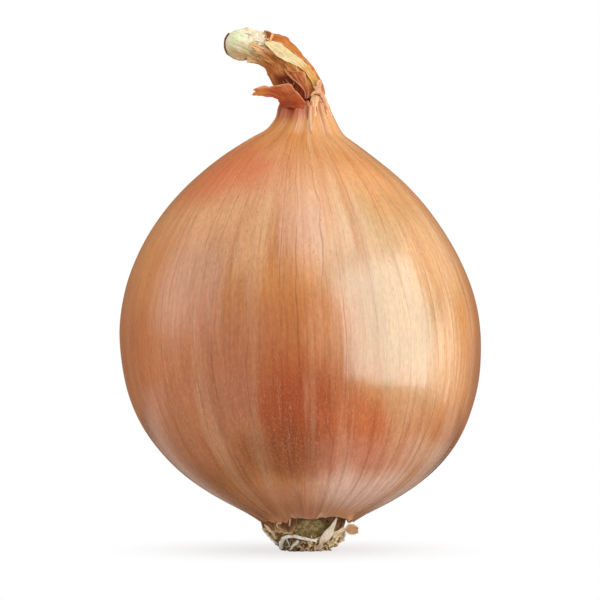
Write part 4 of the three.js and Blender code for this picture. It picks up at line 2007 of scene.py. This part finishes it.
    def _plate(self, name: str) -> Object:
        """Builds the plate, grainy low down and hollow at its upper front.

        Args:
            name: The object's name.

        Returns:
            The finished mesh object.
        """
        top = self.profile[-1][0]
        heights = [top * row / self.rows for row in range(self.rows + 1)]
        foot = [(radius, 0.0) for radius in (1.0, 2.0, 3.0, 3.7)]
        rings, marks = [], []
        wall = [(read_table(self.profile, height), height) for height in heights]
        for radius, height in foot + wall:
            ring, labels = [], []
            for index in range(self.sides):
                turn = index / self.sides * TURN
                wide = radius * (1 + 0.02 * math.sin(5 * turn + height)
                                 + 0.015 * math.sin(11 * turn - height))
                x, y = wide * math.cos(turn), wide * math.sin(turn)
                hollow = ease(5.2, 3.4, abs(x - 1.9)) * ease(2.8, 4.4, height) * (y < 0.0)
                low = 1.0 - 0.7 * ease(3.0, 5.0, height)
                grains = 0.5 * grain(41, x * 0.7, y * 0.7, height * 0.9)
                grains += 0.34 * grain(42, x * 1.6, y * 1.6, height * 1.9)
                grains += 0.14 * grain(44, x * 4.0, y * 4.0, height * 4.0)
                stand = grains * low * ease(0.0, 0.4, height) - 1.1 * hollow
                scale = 1 + stand / max(wide, 1.0)
                pitted = max(0.0, 0.25 * grain(43, x, y)) if height == 0.0 and radius < 4.8 else 0.0
                x = x * scale + read_table(self.shift, height)
                ring.append(Vector((x, y * scale, height + pitted)))
                labels.append((hollow, grains, 0.0))
            rings.append(ring)
            marks.append(labels)
        return loft(name, rings, marks, CorkFinish("cork", specular=0.25).material())

    def _stubs(self) -> None:
        """Scatters the stubs of cut roots over the plate's lower side."""
        sizes = {name: size * MM for name, size in zip(("lowest", "highest", "width", "depth"),
                                                       self.stub_sizes)}
        tree = GeometryTree("root_stubs", {**sizes, "density": self.stub_density / (MM * MM)})
        _, _, height = tree.split(tree.add("GeometryNodeInputPosition"))
        band = height.math("GREATER_THAN", tree.size("lowest"))
        band = band * height.math("LESS_THAN", tree.size("highest"))
        ports = {"Mesh": tree.source, "Selection": band, "Density": tree.size("density"), "Seed": 4}
        points = tree.add("GeometryNodeDistributePointsOnFaces", ports=ports)
        ports = {"Vertices": 7, "Side Segments": 2, "Radius Top": tree.size("width") * 0.55,
                 "Radius Bottom": tree.size("width"), "Depth": tree.size("depth")}
        stub = tree.add("GeometryNodeMeshCone", ports=ports)
        ports = {"Min": (0.6, 0.6, 0.35), "Max": (1.25, 1.25, 1.0), "Seed": 5}
        scales = tree.add("FunctionNodeRandomValue", {"data_type": "FLOAT_VECTOR"}, ports)
        ports = {"Points": points, "Instance": stub, "Scale": scales,
                 "Rotation": Value(tree, points.socket.node.outputs["Rotation"])}
        planted = tree.add("GeometryNodeInstanceOnPoints", ports=ports)
        ports = {"Min": (-0.6, -0.6, 0.0), "Max": (0.6, 0.6, TURN), "Seed": 6}
        tilts = tree.add("FunctionNodeRandomValue", {"data_type": "FLOAT_VECTOR"}, ports)
        ports = {"Instances": planted, "Rotation": tilts}
        finish = RootletFinish("stub", white=(242, 212, 158), brown=(146, 98, 54), spread=1.1,
                               shade=0.5)
        tree.close(tree.add("GeometryNodeRotateInstances", ports=ports), finish.material())
        publish(tree.bake("root_stubs", self._plate("stub_bed")), Slot.CORK)

    @staticmethod
    def _under_skin() -> None:
        """Builds the torn ring of inner skin between the plate and the outer skin."""
        def spot(along: float, share: float) -> Spot:
            """Places one spot.

            Args:
                along: The share of the way round.
                share: The share of the way up.

            Returns:
                The spot.
            """
            turn = math.radians(-260.0 + 361.0 * along)
            x, y = math.cos(turn), math.sin(turn)
            opening = ease(34.0, 16.0, abs(math.degrees(turn) + 74.0))
            hem = 4.4 + 0.5 * grain(45, x * 4.0, y * 4.0)
            hem += 0.35 * grain(46, x * 12.0, y * 12.0) + 3.2 * opening
            height = lerp(hem, 9.4, share)
            reach = read_table(((3.0, 8.5), (5.0, 8.95), (6.5, 9.3), (9.5, 9.9)), height)
            reach += 0.2 * grain(47, x * 6.0, y * 6.0, height * 0.5)
            out = Vector((x, y, 0.0))
            mark = (turn * 8.8, height, (height - hem) * 0.8 + 2.0 * opening)
            return Spot(out * reach + Vector((0.0, 0.0, height)), out, mark)

        finish = LeafFinish("under_skin", low=(186, 146, 94), high=(132, 84, 46),
                            change=(4.6, 6.4), dark=(88, 56, 28), light=(226, 196, 146), rim=0.8)
        publish(sheet("under_skin_ring", 300, 16, spot, 0.2, finish.material()), Slot.TAN)


# The studio


@dataclass
class Softbox:
    """A soft lamp that faces the onion.

    Attributes:
        name: The lamp's name.
        azimuth: Degrees from the front towards +X.
        elevation: Degrees above the horizon.
        distance: Distance in metres.
        width: Width in metres.
        height: Height in metres.
        radiance: Brightness of its face, where 1 looks white.
        fade: Share of its face over which it dims towards each edge.
    """

    name: str
    azimuth: float
    elevation: float
    distance: float
    width: float
    height: float
    radiance: float
    fade: float


@dataclass
class Studio:
    """The floor, the soft light and the camera.

    Attributes:
        camera_distance: From the onion's axis to the camera, in metres as all sizes here are.
        frame_width: What the camera takes in at the onion.
        camera_x: The camera's place to the side.
        camera_z: Its height.
        ambient: Strength of the light from all round.
        room: Brightness of the room in front of the onion, as its gloss shows it.
        backdrop: Brightness of the backdrop, as its gloss shows it.
        glow: Tint of both in its gloss.
        floor_radius: Radius of the round floor.
        shadow_radius: Where the floor starts to fade into the backdrop, and where it has.
        floor_grey: How pale the floor is, from 0 to 255.
        floor_hush: How much less of it the onion's gloss shows in front of it, and just behind it.
        lamps: The softboxes.
    """

    camera_distance: float = 0.8
    frame_width: float = 0.1328
    camera_x: float = -0.00066
    camera_z: float = 0.0554
    ambient: float = 0.97
    room: float = 0.04
    backdrop: float = 0.36
    glow: Colour = (255, 192, 144)
    floor_radius: float = 0.16
    shadow_radius: tuple[float, float] = (0.01, 0.05)
    floor_grey: float = 236.1491
    floor_hush: tuple[float, float] = (0.95, 0.5)
    lamps: Sequence[Softbox] = (
        Softbox("right_softbox", 61.0, 8.0, 0.45, 0.62, 0.76, 1.51, 0.2),
        Softbox("left_softbox", -85.0, 20.0, 0.5, 0.7, 0.6, 0.57, 0.45),
        Softbox("top_softbox", 35.0, 62.0, 0.6, 0.8, 0.9, 1.12, 0.48),
    )

    def make(self) -> None:
        """Sets up the studio."""
        self._camera()
        self._world()
        self._floor()
        for lamp in self.lamps:
            self._lamp(lamp)

    def _camera(self) -> None:
        """Makes the camera at the height of the onion's middle."""
        data = bpy.data.cameras.new("camera")
        data.sensor_width = 36.0
        data.lens = 36.0 * self.camera_distance / self.frame_width
        camera = bpy.data.objects.new("camera", data)
        camera.location = (self.camera_x, -self.camera_distance, self.camera_z)
        camera.rotation_euler = (math.radians(90.0), 0.0, 0.0)
        bpy.context.scene.collection.objects.link(camera)
        bpy.context.scene.camera = camera

    @staticmethod
    def _lamp(box: Softbox) -> None:
        """Makes one softbox.

        Args:
            box: The softbox.
        """
        data = bpy.data.lights.new(box.name, "AREA")
        data.shape = "RECTANGLE"
        data.size, data.size_y = box.width, box.height
        data.energy = box.radiance * math.pi * box.width * box.height
        data.use_nodes = True
        data.node_tree.nodes.clear()
        tree = Tree(data.node_tree)
        across, up, _ = tree.split(tree.add("ShaderNodeNewGeometry", output="Parametric"))
        glow = across.span(0.0, box.fade) * across.span(1.0, 1.0 - box.fade)
        glow = glow * up.span(0.0, box.fade) * up.span(1.0, 1.0 - box.fade)
        tree.end("ShaderNodeOutputLight", tree.add("ShaderNodeEmission", ports={"Strength": glow}))
        lamp = bpy.data.objects.new(box.name, data)
        azimuth, elevation = math.radians(box.azimuth), math.radians(box.elevation)
        way = Vector((math.sin(azimuth) * math.cos(elevation),
                      -math.cos(azimuth) * math.cos(elevation), math.sin(elevation)))
        lamp.location = Vector((0.0, 0.0, 0.05)) + way * box.distance
        lamp.rotation_euler = (-way).to_track_quat("-Z", "Y").to_euler()
        lamp.visible_camera = False
        bpy.context.scene.collection.objects.link(lamp)

    @staticmethod
    def _rays(tree: Tree, *names: str) -> Value:
        """Tells rays of the named kinds from all others.

        Args:
            tree: The tree to ask in.
            names: The kinds, as the Light Path node names them.

        Returns:
            1 for a ray of one of them and 0 for any other.
        """
        path = tree.add("ShaderNodeLightPath", output=names[0])
        seen = path
        for name in names[1:]:
            seen = seen.math("MAXIMUM", Value(tree, path.socket.node.outputs[name]))
        return seen

    def _world(self) -> None:
        """Makes the world: a white backdrop, a dim room in front, and even light from both."""
        world = bpy.data.worlds.new("studio")
        world.use_nodes = True
        world.node_tree.nodes.clear()
        tree = Tree(world.node_tree)
        _, depth, _ = tree.split(tree.add("ShaderNodeTexCoord", output="Generated"))
        gloss = self._rays(tree, "Is Glossy Ray", "Is Transmission Ray")
        shown = depth.span(-0.3, 0.3, self.room, self.backdrop)
        strength = self.ambient + (shown - self.ambient) * gloss
        strength = strength + (1.0 - strength) * self._rays(tree, "Is Camera Ray")
        tint = tree.blend(WHITE, self.glow, gloss)
        back = tree.add("ShaderNodeBackground", ports={"Color": tint, "Strength": strength})
        tree.end("ShaderNodeOutputWorld", back)
        bpy.context.scene.world = world

    def _floor(self) -> None:
        """Makes the white floor, which keeps the onion's shadow and fades into the backdrop."""
        mesh = bpy.data.meshes.new("floor")
        work = bmesh.new()
        bmesh.ops.create_circle(work, cap_ends=True, segments=128, radius=self.floor_radius)
        work.to_mesh(mesh)
        work.free()
        material = bpy.data.materials.new("floor")
        material.use_nodes = True
        material.node_tree.nodes.clear()
        tree = Tree(material.node_tree)
        place = tree.add("ShaderNodeTexCoord", output="Object")
        away = tree.add("ShaderNodeVectorMath", {"operation": "LENGTH"}, {0: place}, "Value")
        fade = away.span(*self.shadow_radius, 0.7, 1.0)
        aside, depth, _ = tree.split(place)
        hush = depth.span(0.0, 0.038, *self.floor_hush) + depth.span(0.04, 0.1, 0.0, 0.35)
        hush = hush + depth.span(0.04, 0.06, 0.0, 0.1) * aside.span(0.0, 0.03)
        gloss = self._rays(tree, "Is Glossy Ray")
        grey = tree.blend(BLACK, (self.floor_grey,) * 3, 1.0 - hush * gloss)
        grey = tree.blend(grey, self.glow, gloss * 0.4, "MULTIPLY")
        matt = tree.add("ShaderNodeBsdfDiffuse", ports={"Color": grey})
        white = tree.add("ShaderNodeEmission", ports={"Color": WHITE, "Strength": 1.0})
        share = self._rays(tree, "Is Camera Ray", "Is Transmission Ray") * fade
        mixed = tree.add("ShaderNodeMixShader", ports={0: share, 1: matt, 2: white})
        tree.end("ShaderNodeOutputMaterial", mixed)
        mesh.materials.append(material)
        show("floor", mesh)


def main() -> None:
    """Builds the onion piece by piece, and the studio round it."""
    logging.basicConfig(level=logging.INFO, format="%(name)s: %(message)s")
    bpy.context.scene.view_settings.view_transform = "Standard"
    Studio().make()
    skin = SkinFinish("skin", specular=1.0, index=1.75, coat=1.0, coat_roughness=0.19)
    publish(BulbSkin().make(skin), Slot.SKIN, "bulb")
    Neck().make()
    RootEnd().make()


if __name__ == "__main__":
    main()
